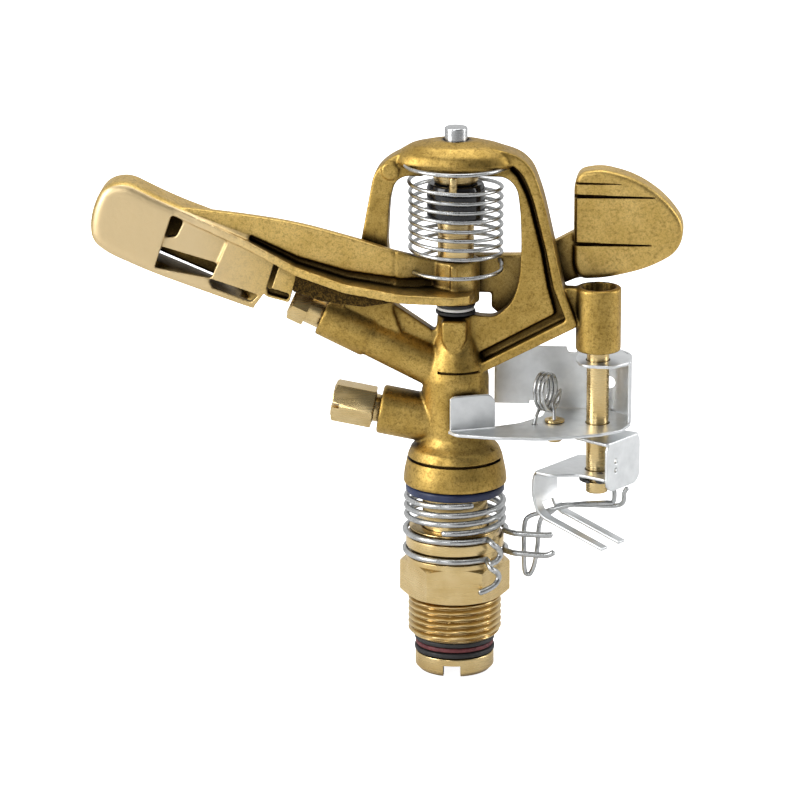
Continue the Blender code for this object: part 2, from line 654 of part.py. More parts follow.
def make_reverse_lever():
    """Folded sheet lever with a back wall, two eyes on the shaft and a stop tab before the neck."""
    floor_plan = outline([
        (-41.0, -12.4, 0), (-38.6, -15.6, 3), (-26, -17.6, 6), (-14, -17.2, 6), (-6, -14.4, 6),
        (1.7, -11.3, 6), (7.2, -6.8, 3), (9.2, -0.6, 2), (8.0, 8.0, 4), (2.0, 13.4, 4), (-9, 14.4, 0),
        (-15.0, 13.6, 0), (-16, 5, 3),
        (-22, -2.6, 5), (-28.4, -6.3, 0), (-40.4, -11.5, 0),
    ])
    floor = slab("reverse_lever", floor_plan, REVERSE_FLOOR, REVERSE_FLOOR + SHEET, sheet_steel)
    floor.location.x = SHAFT_X * MM
    wall_path = [(-30, 14.2), (-9, 14.2)]
    wall_path += [(x, y) for x, y, _ in arc(8.6, 82, 4, 6, 0, (0.3, 5.2))]
    wall_path += [(8.9, 2.2), (8.9, -0.6)]
    wall = sheet_wall("reverse_wall", wall_path, REVERSE_FLOOR + 0.2, REVERSE_ROOF + 0.6, sheet_steel)
    roof = slab("reverse_roof", outline([
        (-6.4, 1, 4), (-4.5, -6.4, 4), (4.5, -6.8, 4), (9.0, -2.0, 3), (8.9, 5.0, 3), (5.0, 12.6, 3),
        (-4.5, 14.0, 2),
    ]), REVERSE_ROOF, REVERSE_ROOF + SHEET, sheet_steel)
    tab = sheet_wall("reverse_tab", [(-40.6, -12.1), (-28.2, -7.2)], REVERSE_FLOOR + 0.3, 83.0, sheet_steel)
    relief = slab("wall_relief", [
        (-35, 72), (-15.4, 72), (-15.4, 75.2), (-20.0, 75.2), (-20.0, 74.2), (-35, 74.2)],
                  10, 18, sheet_steel, "upright")
    for tool in (wall, roof, tab, relief):
        tool.location.x += SHAFT_X * MM
    peep = rod("wall_hole", 1.75, -20, -4, sheet_steel)
    peep.rotation_euler = (math.radians(90), 0, 0)
    peep.location = ((SHAFT_X + 2.6) * MM, 0, 81.2 * MM)
    eye = rod("reverse_eye", SHAFT_RADIUS + GAP, 60, 100, sheet_steel)
    eye.location.x = SHAFT_X * MM
    post_hole = rod("post_hole", 1.9, 70, 76, sheet_steel, 12)
    post_hole.location = ((SHAFT_X - 12.0) * MM, -0.5 * MM, 0)
    leg_hole = rod("leg_hole", 1.0, 70, 76, sheet_steel, 10)
    leg_hole.location = ((SHAFT_X - 17.4) * MM, -3.6 * MM, 0)
    cut(wall, relief)
    join(floor, wall, roof, tab)
    return cut(floor, peep, eye, post_hole, leg_hole)


def make_spring_post():
    """Small brass post riveted through the reverse lever."""
    post = turned("spring_post", [
        (0, 77.0), (1.3, 77.0), (1.6, 76.4), (1.6, 73.9), (2.3, 73.7), (2.3, 73.5), (1.6, 73.5), (1.6, 71.9),
        (2.4, 71.9), (2.4, 68.2), (1.8, 67.6), (0, 67.6),
    ], machined_brass, 12)
    post.location = ((SHAFT_X - 12.0) * MM, -0.5 * MM, 0)
    return post


def make_toggle_spring():
    """Over-centre spring: a stubby coil with one leg in the lever and one at the post."""
    loops = []
    for step in range(37):
        angle = 2 * math.pi * step / 12 - math.pi / 2
        along = -16.8 + 4.6 * step / 36
        loops.append((along, -1.5 + 4.0 * math.cos(angle), 82.6 + 5.1 * math.sin(angle)))
    first = [(-17.4, -3.6, 68.6), (-17.4, -3.6, 74.5)]
    last = [(-12.2, -3.2, 77.4), (-12.2, -3.2, 74.8)]
    spring = wire("toggle_spring", first + loops + last, 0.9, steel)
    spring.location.x = SHAFT_X * MM
    return spring


def trip_point(across, deep, height):
    """A point of the trip lever's own folded frame, relative to the shaft."""
    x = across * math.cos(TRIP_TURN) - deep * math.sin(TRIP_TURN)
    y = across * math.sin(TRIP_TURN) + deep * math.cos(TRIP_TURN)
    return (x, y, height)


def band(name, path, near, far, material):
    """A strip of sheet that follows a path of (across, height) and runs from near to far."""
    mesh = bpy.data.meshes.new(name)
    count = len(path)
    points = []
    for deep in (near, far):
        for across, height in path:
            x, y, z = trip_point(across, deep, height)
            points.append((x * MM, y * MM, z * MM))
    faces = [(index, index + 1, index + 1 + count, index + count) for index in range(count - 1)]
    mesh.from_pydata(points, [], faces)
    strip = place(name, mesh, material)
    skin = strip.modifiers.new("sheet", "SOLIDIFY")
    skin.thickness = SHEET * MM
    skin.offset = 0
    skin.use_even_offset = True
    return strip


def make_trip_lever():
    """Folded sheet lever under the reverse lever, with a forked tongue that holds the trip wire."""
    left = -12.5
    near = -13.1
    floor = slab("trip_lever", outline([
        (left, near, 1), (3, near + 0.6, 4), (9.0, near + 6, 3), (9.0, 8.4, 2), (left + 8, 9.2, 3),
        (left, 9.2, 2),
    ]), TRIP_FLOOR, TRIP_FLOOR + SHEET, sheet_steel)
    floor.rotation_euler.z = TRIP_TURN
    middle = TRIP_FLOOR + SHEET / 2
    fold = [
        (left + 2.5, middle), (left + 0.6, middle - 0.3), (left - 0.2, middle - 1.5),
        (left - 0.5, middle - 5.5),
        (left + 0.2, middle - 9.0), (left + 1.6, middle - 11.6), (left + 4.2, middle - 13.2),
    ]
    tongue = [(left + 3.6, middle - 12.9), (left + 23.6, middle - 18.3)]
    front = band("trip_front_finger", tongue, near + 0.4, near + 3.4, sheet_steel)
    back = band("trip_back_finger", tongue, near + 8.6, near + 11.6, sheet_steel)
    face = band("trip_face", fold, near + 0.4, near + 11.6, sheet_steel)
    side = band("trip_side", [(8.6, TRIP_FLOOR - 3.0), (8.6, TRIP_ROOF + 0.6)], -7.6, 8.2, sheet_steel)
    roof = slab("trip_roof", outline([
        (-5.5, -4, 3), (-3, -6.8, 3), (9.0, -7.6, 1), (9.0, 8.0, 1), (-3, 6.0, 3), (-6.2, 3, 3),
    ]), TRIP_ROOF, TRIP_ROOF + SHEET, sheet_steel)
    roof.rotation_euler.z = TRIP_TURN
    for tool in (floor, front, back, face, side, roof):
        tool.location.x = SHAFT_X * MM
    slit = band("trip_slit", [(left - 3, middle - 12.2), (left + 5.5, middle - 12.2)], near + 3.4, near + 8.6,
                sheet_steel)
    slit.modifiers["sheet"].thickness = 6.0 * MM
    slit.location.x = SHAFT_X * MM
    eye = rod("trip_eye", SHAFT_RADIUS + GAP, 50, 71, sheet_steel)
    eye.location.x = SHAFT_X * MM
    join(floor, face, front, back, side, roof)
    return cut(floor, slit, eye)


def make_trip_wire():
    """Sprung hairpin held by the trip lever, whose hanging loop meets the clips' arms."""
    upper = [(4.6, -1.4, 54.6), (5.0, 0.4, 52.6), (4.6, 1.2, 49.6), (2.0, 0.2, 49.6), (-6, -0.8, 49.2)]
    gate = [(-12.4, -0.9, 47.6), (-14.6, -0.3, 46.6)]
    near_leg = [(-18.6, 0.2, 45.2), (-20.2, 0.0, 43.0), (-20.4, 0.0, 36.0), (-20.2, 0.0, 29.4)]
    loop = [(-19.4, 0.0, 27.9), (-18.4, 0.0, 28.4)]
    far_leg = [(-17.4, 0.0, 31.0), (-16.6, 0.2, 36.0), (-16.2, 0.6, 42.0), (-15.2, 1.0, 44.8)]
    lower = [(-12.8, 0.7, 46.3), (-10.0, 0.9, 48.3), (-4.0, 1.8, 48.3), (4.5, 2.9, 47.9), (7.4, 1.6, 49.4),
             (7.8, 0.6, 52.6), (8.6, 0.2, 54.0)]
    spring_wire = wire("trip_wire", upper + gate + near_leg + loop + far_leg + lower, TRIP_WIRE, steel)
    spring_wire.location.x = SHAFT_X * MM
    return spring_wire


clear_scene()
parts = new_collection("impact_sprinkler")
cutters = new_collection("cutters")
cast_brass = finish("cast_brass", (0.50, 0.36, 0.14), 0.42, 1.0)
machined_brass = finish("machined_brass", (0.68, 0.50, 0.24), 0.30, 1.0)
steel = finish("steel", (0.62, 0.63, 0.63), 0.25, 1.0)
dark_steel = finish("dark_steel", (0.08, 0.08, 0.08), 0.40, 1.0)
sheet_steel = finish("sheet_steel", (0.62, 0.64, 0.66), 0.35, 1.0)
black_rubber = finish("black_rubber", (0.02, 0.02, 0.02), 0.55, 0.0)
blue_rubber = finish("blue_rubber", (0.03, 0.05, 0.14), 0.45, 0.0)
red_fibre = finish("red_fibre", (0.16, 0.03, 0.04), 0.60, 0.0)
white_nylon = finish("white_nylon", (0.80, 0.80, 0.78), 0.50, 0.0)
black_plastic = finish("black_plastic", (0.012, 0.012, 0.014), 0.15, 0.0)

make_nipple()
make_pressure_spring()
upper_clip = make_clip("upper_trip_clip", UPPER_CLIP_HEIGHT, -11.0, 28.2, 3.2, steel)
lower_clip = make_clip("lower_trip_clip", LOWER_CLIP_HEIGHT, -12.5, 29.0, 8.0, steel)
make_bearing_tube()
make_seals()
make_body()
make_main_nozzle()
make_spreader_nozzle()
make_fulcrum_pin()
make_arm_bearings()
arm_pivot = pivot("arm_pivot", 0, HUB_BOTTOM)
hang(arm_pivot, make_arm())
make_arm_spring()
make_trip_shaft()
make_shaft_clip()
reverse_pivot = pivot("reverse_lever_pivot", SHAFT_X, REVERSE_FLOOR)
hang(reverse_pivot, make_reverse_lever(), make_spring_post(), make_toggle_spring())
trip_pivot = pivot("trip_lever_pivot", SHAFT_X, TRIP_FLOOR)
hang(trip_pivot, make_trip_lever(), make_trip_wire())
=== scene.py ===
"""Looks of the part-circle impact sprinkler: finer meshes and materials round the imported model.

The object's lengths are in millimetres and become metres through MM. The head turns on Z, the jet
leaves towards -X, the trip shaft stands at +X and the front faces -Y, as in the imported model.
"""

import math

import bmesh
import bpy
from mathutils import Matrix, Vector


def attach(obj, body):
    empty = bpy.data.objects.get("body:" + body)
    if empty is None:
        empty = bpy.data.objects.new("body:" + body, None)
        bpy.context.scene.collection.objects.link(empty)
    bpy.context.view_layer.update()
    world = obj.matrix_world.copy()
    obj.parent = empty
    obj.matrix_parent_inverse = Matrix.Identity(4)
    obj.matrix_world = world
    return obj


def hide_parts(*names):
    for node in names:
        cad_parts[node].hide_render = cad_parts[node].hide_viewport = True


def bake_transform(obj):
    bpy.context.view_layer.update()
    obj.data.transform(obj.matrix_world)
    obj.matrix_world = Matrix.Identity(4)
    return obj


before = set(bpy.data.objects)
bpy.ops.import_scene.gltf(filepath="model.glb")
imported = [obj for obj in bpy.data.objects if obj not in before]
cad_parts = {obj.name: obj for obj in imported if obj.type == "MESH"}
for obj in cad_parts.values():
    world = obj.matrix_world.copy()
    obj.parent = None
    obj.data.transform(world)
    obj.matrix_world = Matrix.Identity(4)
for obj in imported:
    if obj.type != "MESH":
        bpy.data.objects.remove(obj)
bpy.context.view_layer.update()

MM = 0.001
FINE = 128
MEDIUM = 64
SMALL = 40
CORNER_STEPS = 8
SOFT = -1
QUARTER = math.radians(90)

# The inlet stack, outer radii and heights.
FLANGE_RADIUS = 11.15
FLANGE_TOP = 5.35
TUBE_RADIUS = 9.2
TUBE_BORE = 7.6
TUBE_TOP = 62.0
SEAL_BORE = 9.5
THREAD_RADIUS = 13.2
THREAD_ROOT = 12.15
THREAD_PITCH = 1.814
NIPPLE_BOTTOM = 10.4
HEX_BOTTOM = 22.4
HEX_TOP = 32.6
HEX_FLATS = 27.0
HEX_TURN = math.radians(34.0)
COLLAR_RADIUS = 13.85
COLLAR_TOP = 42.2
CLIP_GROOVE_RADIUS = 12.8
LOWER_CLIP_HEIGHT = 35.3
UPPER_CLIP_HEIGHT = 41.0
CLIP_RING_RADIUS = 14.05
HOOK_REACH = 17.4
CLIP_WIRE = 1.7
PRESSURE_SPRING_RADIUS = 13.65
PRESSURE_SWEEP = 1115
PRESSURE_PITCH = 2.62

# The head.
BELL_BOTTOM = 55.1
JET_RISE = math.radians(24.4)
JET_HEIGHT = 86.0
RANGE_TUBE_MOUTH = 41.0
SPREADER_RISE = math.radians(10.0)
SPREADER_HEIGHT = 72.0
PIN_RADIUS = 3.2
PIN_TOP = 157.45
PIN_BORE = 3.5

# The arm.
HUB_RADIUS = 6.7
HUB_BOTTOM = 107.65
HUB_TOP = 119.8
ROOT_TURN = math.radians(21.0)
SPOON_FRONT = -9.55
SPOON_BACK = 4.0
# Where the spoon's front turns from cast to ground, along Y and along X.
GROUND_DEPTHS = (-8.35, -8.65)
GROUND_REACH = (-44.0, -72.0)
ARM_SPRING_RADIUS = 12.8
ARM_SPRING_WIRE = 1.1

# The trip gear.
SHAFT_X = 40.0
SHAFT_RADIUS = 3.15
SHEET = 0.9
SHEET_VOXEL = 0.2
REVERSE_FLOOR = 72.3
REVERSE_ROOF = 90.6
TRIP_FLOOR = 58.7
TRIP_ROOF = 69.2
TRIP_TURN = math.radians(-33.0)
TOGGLE_LENGTH = 4.4
TOGGLE_TURN = math.radians(-32.0)

# The studio. Its lamps' places and sizes and the camera's distance are in metres.
CAMERA_TURN = math.radians(5.0)
CAMERA_RISE = math.radians(16.0)
CAMERA_DISTANCE = 1.5
CAMERA_AIM = (-15.6, 0.0, 78.3)
CAMERA_LENS = 240.0
FLOOR_GLOW = 0.95
LIGHT_AIM = (0.0, 0.0, 0.08)

scene = bpy.context.scene


# Shapes

def put(name, mesh):
    thing = bpy.data.objects.new(name, mesh)
    scene.collection.objects.link(thing)
    return thing


def put_shape(name, shape):
    """The object of a bmesh, which is then freed."""
    mesh = bpy.data.meshes.new(name)
    shape.to_mesh(mesh)
    shape.free()
    return put(name, mesh)


def freeze(thing):
    """Apply the modifiers and the placement of an object to its mesh."""
    bpy.context.view_layer.update()
    graph = bpy.context.evaluated_depsgraph_get()
    mesh = bpy.data.meshes.new_from_object(thing.evaluated_get(graph))
    mesh.transform(thing.matrix_world)
    thing.modifiers.clear()
    thing.data = mesh
    thing.matrix_world = Matrix.Identity(4)
    return thing


def corner_arc(before, corner, after, radius, steps):
    corner = Vector(corner)
    towards_before = (Vector(before) - corner).normalized()
    towards_after = (Vector(after) - corner).normalized()
    half = towards_before.angle(towards_after) / 2
    if half > math.radians(89.5):
        return [tuple(corner)]
    reach = radius / math.tan(half)
    centre = corner + (towards_before + towards_after).normalized() * (radius / math.sin(half))
    start = corner + towards_before * reach - centre
    end = corner + towards_after * reach - centre
    sweep = start.angle_signed(end)
    points = []
    for step in range(steps + 1):
        turn = -sweep * step / steps
        points.append((
            centre.x + start.x * math.cos(turn) - start.y * math.sin(turn),
            centre.y + start.x * math.sin(turn) + start.y * math.cos(turn),
        ))
    return points


def widest_radius(before, corner, after):
    """The radius that rounds a corner from half way along its shorter edge."""
    to_before = Vector(before) - Vector(corner)
    to_after = Vector(after) - Vector(corner)
    reach = 0.49 * min(to_before.length, to_after.length)
    return reach * math.tan(to_before.angle(to_after) / 2)


def rounded(before, row, after, steps):
    """The points of one corner: sharp for a row of (x, y), round for (x, y, radius)."""
    corner = row[:2]
    radius = row[2] if len(row) == 3 else 0
    if radius == 0:
        return [corner]
    if radius == SOFT:
        radius = widest_radius(before[:2], corner, after[:2])
    return corner_arc(before[:2], corner, after[:2], radius, steps)


def outline(rows, steps=CORNER_STEPS):
    """A closed outline from rows of (x, y) or (x, y, corner radius)."""
    points = []
    for before, row, after in zip(rows[-1:] + rows[:-1], rows, rows[1:] + rows[:1]):
        points += rounded(before, row, after, steps)
    return points


def profile_of(rows):
    """An open profile from rows of (radius, height) or (radius, height, corner radius)."""
    points = [rows[0][:2]]
    for before, row, after in zip(rows, rows[1:], rows[2:]):
        points += rounded(before, row, after, 4)
    points.append(rows[-1][:2])
    return points


def curve_mesh(curve):
    """The closed mesh of a curve, which is then removed."""
    guide = bpy.data.objects.new("guide", curve)
    scene.collection.objects.link(guide)
    bpy.context.view_layer.update()
    graph = bpy.context.evaluated_depsgraph_get()
    mesh = bpy.data.meshes.new_from_object(guide.evaluated_get(graph))
    shape = bmesh.new()
    shape.from_mesh(mesh)
    bmesh.ops.remove_doubles(shape, verts=shape.verts, dist=0.001 * MM)
    bmesh.ops.recalc_face_normals(shape, faces=shape.faces)
    shape.to_mesh(mesh)
    shape.free()
    bpy.data.objects.remove(guide, do_unlink=True)
    return mesh


def bevel(thing, width, segments, angle):
    """Round the edges that are sharper than an angle in degrees."""
    step = thing.modifiers.new("edge", "BEVEL")
    step.width = width * MM
    step.segments = segments
    step.limit_method = "ANGLE"
    step.angle_limit = math.radians(angle)


def slab(name, points, low, high, lay="flat", edge=0.0):
    """An outline given a depth, flat in XY or upright in XZ, with edges rounded to a radius."""
    curve = bpy.data.curves.new(name, "CURVE")
    curve.dimensions = "2D"
    curve.fill_mode = "BOTH"
    curve.extrude = (high - low) / 2 * MM
    spline = curve.splines.new("POLY")
    spline.points.add(len(points) - 1)
    for point, (x, y) in zip(spline.points, points):
        point.co = (x * MM, y * MM, 0.0, 1.0)
    spline.use_cyclic_u = True
    thing = put(name, curve_mesh(curve))
    flatten(thing)
    if edge:
        bevel(thing, edge, 4, 60)
    middle = (low + high) / 2 * MM
    if lay == "flat":
        thing.location = (0, 0, middle)
    else:
        thing.location = (0, middle, 0)
        thing.rotation_euler = (QUARTER, 0, 0)
    return freeze(thing)


def upright(name, low, high, corners, edge=0.0):
    """A plate in XZ between two depths, from an outline's rows."""
    return slab(name, outline(corners), low, high, "upright", edge)


def flatten(thing):
    """Join the triangles of each flat face into one face."""
    shape = bmesh.new()
    shape.from_mesh(thing.data)
    bmesh.ops.dissolve_limit(
        shape, angle_limit=math.radians(0.4), verts=shape.verts, edges=shape.edges
    )
    shape.to_mesh(thing.data)
    shape.free()
    return thing


def turned(name, profile, steps=FINE, closed=False):
    """A body turned about Z from points of (radius, height)."""
    shape = bmesh.new()
    verts = [shape.verts.new((radius * MM, 0, height * MM)) for radius, height in profile]
    edges = [shape.edges.new(pair) for pair in zip(verts, verts[1:])]
    if closed:
        edges.append(shape.edges.new((verts[-1], verts[0])))
    bmesh.ops.spin(
        shape, geom=verts + edges, cent=(0, 0, 0), axis=(0, 0, 1), angle=2 * math.pi, steps=steps
    )
    bmesh.ops.remove_doubles(shape, verts=shape.verts, dist=0.002 * MM)
    bmesh.ops.recalc_face_normals(shape, faces=shape.faces)
    return put_shape(name, shape)


def rod(name, radius, low, high, steps=MEDIUM, edge=0.0):
    rows = [(0, high), (radius, high, edge), (radius, low, edge), (0, low)]
    return turned(name, profile_of(rows), steps)


def ring(name, bore, radius, low, high, steps=FINE, edge=0.15):
    """A washer or sleeve with rounded edges."""
    corners = [(bore, high, edge), (radius, high, edge), (radius, low, edge), (bore, low, edge)]
    return turned(name, outline(corners, 4), steps, True)


def prism(name, sides, flats, low, high, turn=0.0):
    radius = flats / 2 / math.cos(math.pi / sides)
    points = []
    for index in range(sides):
        angle = turn + math.pi / sides + 2 * math.pi * index / sides
        points.append((radius * math.cos(angle), radius * math.sin(angle)))
    return slab(name, points, low, high)


def shift(thing, x=0.0, y=0.0, z=0.0):
    thing.data.transform(Matrix.Translation((x * MM, y * MM, z * MM)))
    return thing


def spin(thing, angle, axis="Z"):
    thing.data.transform(Matrix.Rotation(angle, 4, axis))
    return thing


def lie(thing, x=0.0, y=0.0, z=0.0):
    """Turn a piece that was made along Z to lie along Y, then move it."""
    return shift(spin(thing, QUARTER, "X"), x, y, z)


def aim(thing, rise, height):
    """Lay a piece that was made along Z onto a passage that rises towards -X."""
    along = Vector((-math.cos(rise), 0, math.sin(rise))).to_track_quat("Z", "Y")
    thing.data.transform(Matrix.Translation((0, 0, height * MM)) @ along.to_matrix().to_4x4())
    return thing


def combine(target, other, operation):
    step = target.modifiers.new("combine", "BOOLEAN")
    step.operation = operation
    step.object = other
    freeze(target)
    bpy.data.objects.remove(other, do_unlink=True)
    return target


def join(target, *others):
    for other in others:
        combine(target, other, "UNION")
    return target


def cut(target, *others):
    for other in others:
        combine(target, other, "DIFFERENCE")
    return target


def merge(target, *others):
    """Put several closed meshes in one object without a boolean."""
    shape = bmesh.new()
    shape.from_mesh(target.data)
    for other in others:
        shape.from_mesh(other.data)
        bpy.data.objects.remove(other, do_unlink=True)
    shape.to_mesh(target.data)
    shape.free()
    return target


def soften(thing, passes):
    """Smoothing passes, which take the hardness off fresh edges."""
    smooth = thing.modifiers.new("fettle", "SMOOTH")
    smooth.factor = 0.5
    smooth.iterations = passes
    freeze(thing)
    thing.data.shade_smooth()
    return thing


def cast(thing, voxel, passes):
    """Run the shape together like a casting, with small fillets and rounded edges."""
    remesh = thing.modifiers.new("cast", "REMESH")
    remesh.mode = "VOXEL"
    remesh.voxel_size = voxel * MM
    return soften(thing, passes)


def polish(thing, angle=40):
    """Smooth shading that keeps the edges sharper than an angle in degrees."""
    thing.data.shade_smooth()
    thing.data.set_sharp_from_angle(angle=math.radians(angle))
    return thing


def machined(thing):
    """Clean faces with fine broken edges."""
    flatten(thing)
    bevel(thing, 0.12, 2, 35)
    return polish(freeze(thing), 35)


def smooth_path(points, steps=6):
    """Points of a smooth curve through given ones."""
    ends = [points[0]] + list(points) + [points[-1]]
    path = []
    for index in range(1, len(ends) - 2):
        p0, p1, p2, p3 = (Vector(ends[index + offset]) for offset in (-1, 0, 1, 2))
        for step in range(steps):
            t = step / steps
            path.append((
                2 * p1 + (p2 - p0) * t + (2 * p0 - 5 * p1 + 4 * p2 - p3) * t * t
                + (3 * p1 - p0 - 3 * p2 + p3) * t ** 3
            ) * 0.5)
    path.append(Vector(points[-1]))
    return path


def wire(name, points, diameter):
    """A round wire with softly domed ends."""
    curve = bpy.data.curves.new(name, "CURVE")
    curve.dimensions = "3D"
    curve.bevel_depth = diameter / 2 * MM
    curve.bevel_resolution = 5
    curve.use_fill_caps = True
    points = [Vector(point) for point in points]
    tip = diameter * 0.18
    first = points[0] + (points[0] - points[1]).normalized() * tip
    last = points[-1] + (points[-1] - points[-2]).normalized() * tip
    path = [first] + points + [last]
    spline = curve.splines.new("POLY")
    spline.points.add(len(path) - 1)
    for index, (point, at) in enumerate(zip(spline.points, path)):
        point.co = (*(Vector(at) * MM), 1.0)
        point.radius = 0.62 if index in (0, len(path) - 1) else 1.0
    return polish(put(name, curve_mesh(curve)), 60)


def arc(radius, start, end, steps, height=0.0, centre=(0, 0)):
    """Points round a level arc, with its angles in degrees."""
    points = []
    for step in range(steps + 1):
        angle = math.radians(start + (end - start) * step / steps)
        x = centre[0] + radius * math.cos(angle)
        y = centre[1] + radius * math.sin(angle)
        points.append((x, y, height))
    return points


def helix(radius, start, end, low, high, top_radius=None):
    """Points round and up between two angles in degrees, every 5 degrees or so."""
    steps = max(4, int(abs(end - start) / 5))
    points = []
    for step in range(steps + 1):
        part = step / steps
        angle = math.radians(start + (end - start) * part)
        reach = radius + ((top_radius or radius) - radius) * part
        points.append((reach * math.cos(angle), reach * math.sin(angle), low + (high - low) * part))
    return points


# Materials

def spread(tree, source, low, high, start=0.0, end=1.0, kind="LINEAR"):
    """A value that goes from low to high as its source goes from start to end."""
    node = tree.nodes.new("ShaderNodeMapRange")
    node.interpolation_type = kind
    for name, value in (("From Min", start), ("From Max", end), ("To Min", low), ("To Max", high)):
        node.inputs[name].default_value = value
    tree.links.new(source, node.inputs["Value"])
    return node.outputs["Result"]


class Shader:
    """Short names for building a node tree."""

    def __init__(self, name):
        self.material = bpy.data.materials.new(name)
        self.material.use_nodes = True
        self.nodes = self.material.node_tree.nodes
        self.links = self.material.node_tree.links
        self.principled = self.nodes["Principled BSDF"]
        self.place = self.nodes.new("ShaderNodeTexCoord").outputs["Object"]

    def set(self, name, value):
        self.principled.inputs[name].default_value = value

    def feed(self, name, output):
        self.links.new(output, self.principled.inputs[name])

    def stretched(self, scale):
        node = self.nodes.new("ShaderNodeMapping")
        node.inputs["Scale"].default_value = scale
        self.links.new(self.place, node.inputs["Vector"])
        return node.outputs["Vector"]

    def noise(self, scale, detail=4.0, rough=0.55, where=None):
        node = self.nodes.new("ShaderNodeTexNoise")
        node.inputs["Scale"].default_value = scale
        node.inputs["Detail"].default_value = detail
        node.inputs["Roughness"].default_value = rough
        self.links.new(where or self.place, node.inputs["Vector"])
        return node.outputs["Fac"]

    def ramp(self, fac, low, high, start=0.35, end=0.65):
        """A colour or grey from low to high as fac goes from start to end."""
        node = self.nodes.new("ShaderNodeValToRGB")
        elements = node.color_ramp.elements
        elements[0].position = start
        elements[1].position = end
        elements[0].color = low if isinstance(low, tuple) else (low, low, low, 1)
        elements[1].color = high if isinstance(high, tuple) else (high, high, high, 1)
        self.links.new(fac, node.inputs["Fac"])
        return node.outputs["Color"]

    def mix(self, fac, first, second, kind="MIX"):
        node = self.nodes.new("ShaderNodeMix")
        node.data_type = "RGBA"
        node.blend_type = kind
        for socket, value in (("Factor_Float", fac), ("A_Color", first), ("B_Color", second)):
            target = next(s for s in node.inputs if s.identifier == socket)
            if isinstance(value, bpy.types.NodeSocket):
                self.links.new(value, target)
            else:
                target.default_value = value
        return next(s for s in node.outputs if s.identifier == "Result_Color")

    def painted_shade(self, distance):
        """Ambient occlusion for painted shade: white in the open and dark in corners and recesses."""
        node = self.nodes.new("ShaderNodeAmbientOcclusion")
        node.samples = 8
        node.inputs["Distance"].default_value = distance * MM
        return node.outputs["AO"]

    def bump(self, *layers):
        """Stack bump layers of (height output, strength, distance in mm)."""
        normal = None
        for height, strength, distance in layers:
            node = self.nodes.new("ShaderNodeBump")
            node.inputs["Strength"].default_value = strength
            node.inputs["Distance"].default_value = distance * MM
            self.links.new(height, node.inputs["Height"])
            if normal is not None:
                self.links.new(normal, node.inputs["Normal"])
            normal = node.outputs["Normal"]
        self.feed("Normal", normal)


def rgba(red, green, blue):
    return (red, green, blue, 1.0)


def cast_look(name, low, high, speck, pale_front):
    """Sand-cast, tumbled brass: gold with a fine dark grain, and painted shade that turns it dark brown in
    the recesses.
    """
    s = Shader(name)
    s.set("Metallic", 1.0)
    tone = s.ramp(s.noise(150, 5), rgba(*low), rgba(*high), 0.3, 0.7)
    grain = s.noise(2300, 3, 0.6)
    tone = s.mix(s.ramp(grain, 0.0, speck, 0.44, 0.70), tone, rgba(0.30, 0.18, 0.04))
    mottle = s.noise(1000, 4, 0.7)
    tone = s.mix(s.ramp(mottle, 0.0, speck * 0.9, 0.50, 0.66), tone, rgba(0.16, 0.09, 0.02))
    # Painted shade: near and wide are occlusion masks that darken the colour towards near-black brown in
    # corners and recesses.
    near = s.ramp(s.painted_shade(3.5), 0.0, 1.0, 0.38, 0.92)
    wide = s.ramp(s.painted_shade(13.0), 0.0, 1.0, 0.28, 0.78)
    shaded = s.mix(wide, rgba(0.035, 0.018, 0.006), tone)
    if pale_front:
        split = s.nodes.new("ShaderNodeSeparateXYZ")
        s.links.new(s.place, split.inputs["Vector"])
        both = s.nodes.new("ShaderNodeMath")
        both.operation = "MULTIPLY"
        for socket, axis, (start, end) in zip(both.inputs, "YX", (GROUND_DEPTHS, GROUND_REACH)):
            part = spread(s.material.node_tree, split.outputs[axis], 0, 1, start * MM, end * MM)
            s.links.new(part, socket)
        shaded = s.mix(both.outputs["Value"], shaded, rgba(0.77, 0.60, 0.34))
    s.feed("Base Color", s.mix(near, rgba(0.020, 0.010, 0.004), shaded))
    s.feed("Roughness", s.ramp(s.noise(420, 4), 0.36, 0.52, 0.3, 0.7))
    s.bump((grain, 0.35, 0.05), (s.noise(650, 4, 0.55), 0.35, 0.14))
    return s.material


def machined_brass_material():
    """Turned brass with faint tool rings, and painted shade in its recesses."""
    s = Shader("machined_brass_look")
    s.set("Metallic", 1.0)
    tone = s.ramp(s.noise(140, 4), rgba(0.66, 0.475, 0.20), rgba(0.80, 0.62, 0.32), 0.3, 0.7)
    # Painted shade: an occlusion mask darkens the colour to brown in recesses.
    unshaded = s.ramp(s.painted_shade(1.6), 0.0, 1.0, 0.2, 0.8)
    s.feed("Base Color", s.mix(unshaded, rgba(0.22, 0.125, 0.035), tone))
    rings = s.noise(900, 3, 0.6, s.stretched((0.05, 0.05, 2.2)))
    s.feed("Roughness", s.ramp(rings, 0.22, 0.34, 0.3, 0.7))
    s.bump((rings, 0.08, 0.03), (s.noise(1500, 2), 0.04, 0.03))
    return s.material


def steel_look(name, low, high, rough_low, rough_high, stretch, bump):
    """Bright steel with drawn or rolled streaks, and painted shade in its recesses."""
    s = Shader(name)
    s.set("Metallic", 1.0)
    streaks = s.noise(1400, 4, 0.6, s.stretched(stretch))
    tone = s.ramp(s.noise(260, 3), rgba(*low), rgba(*high), 0.3, 0.7)
    # Painted shade: an occlusion mask darkens the colour to dark grey in recesses.
    unshaded = s.ramp(s.painted_shade(1.0), 0.0, 1.0, 0.1, 0.7)
    s.feed("Base Color", s.mix(unshaded, rgba(0.10, 0.10, 0.10), tone))
    s.feed("Roughness", s.ramp(streaks, rough_low, rough_high, 0.3, 0.7))
    s.bump((streaks, bump, 0.02), (s.noise(90, 2), bump, 0.25))
    return s.material


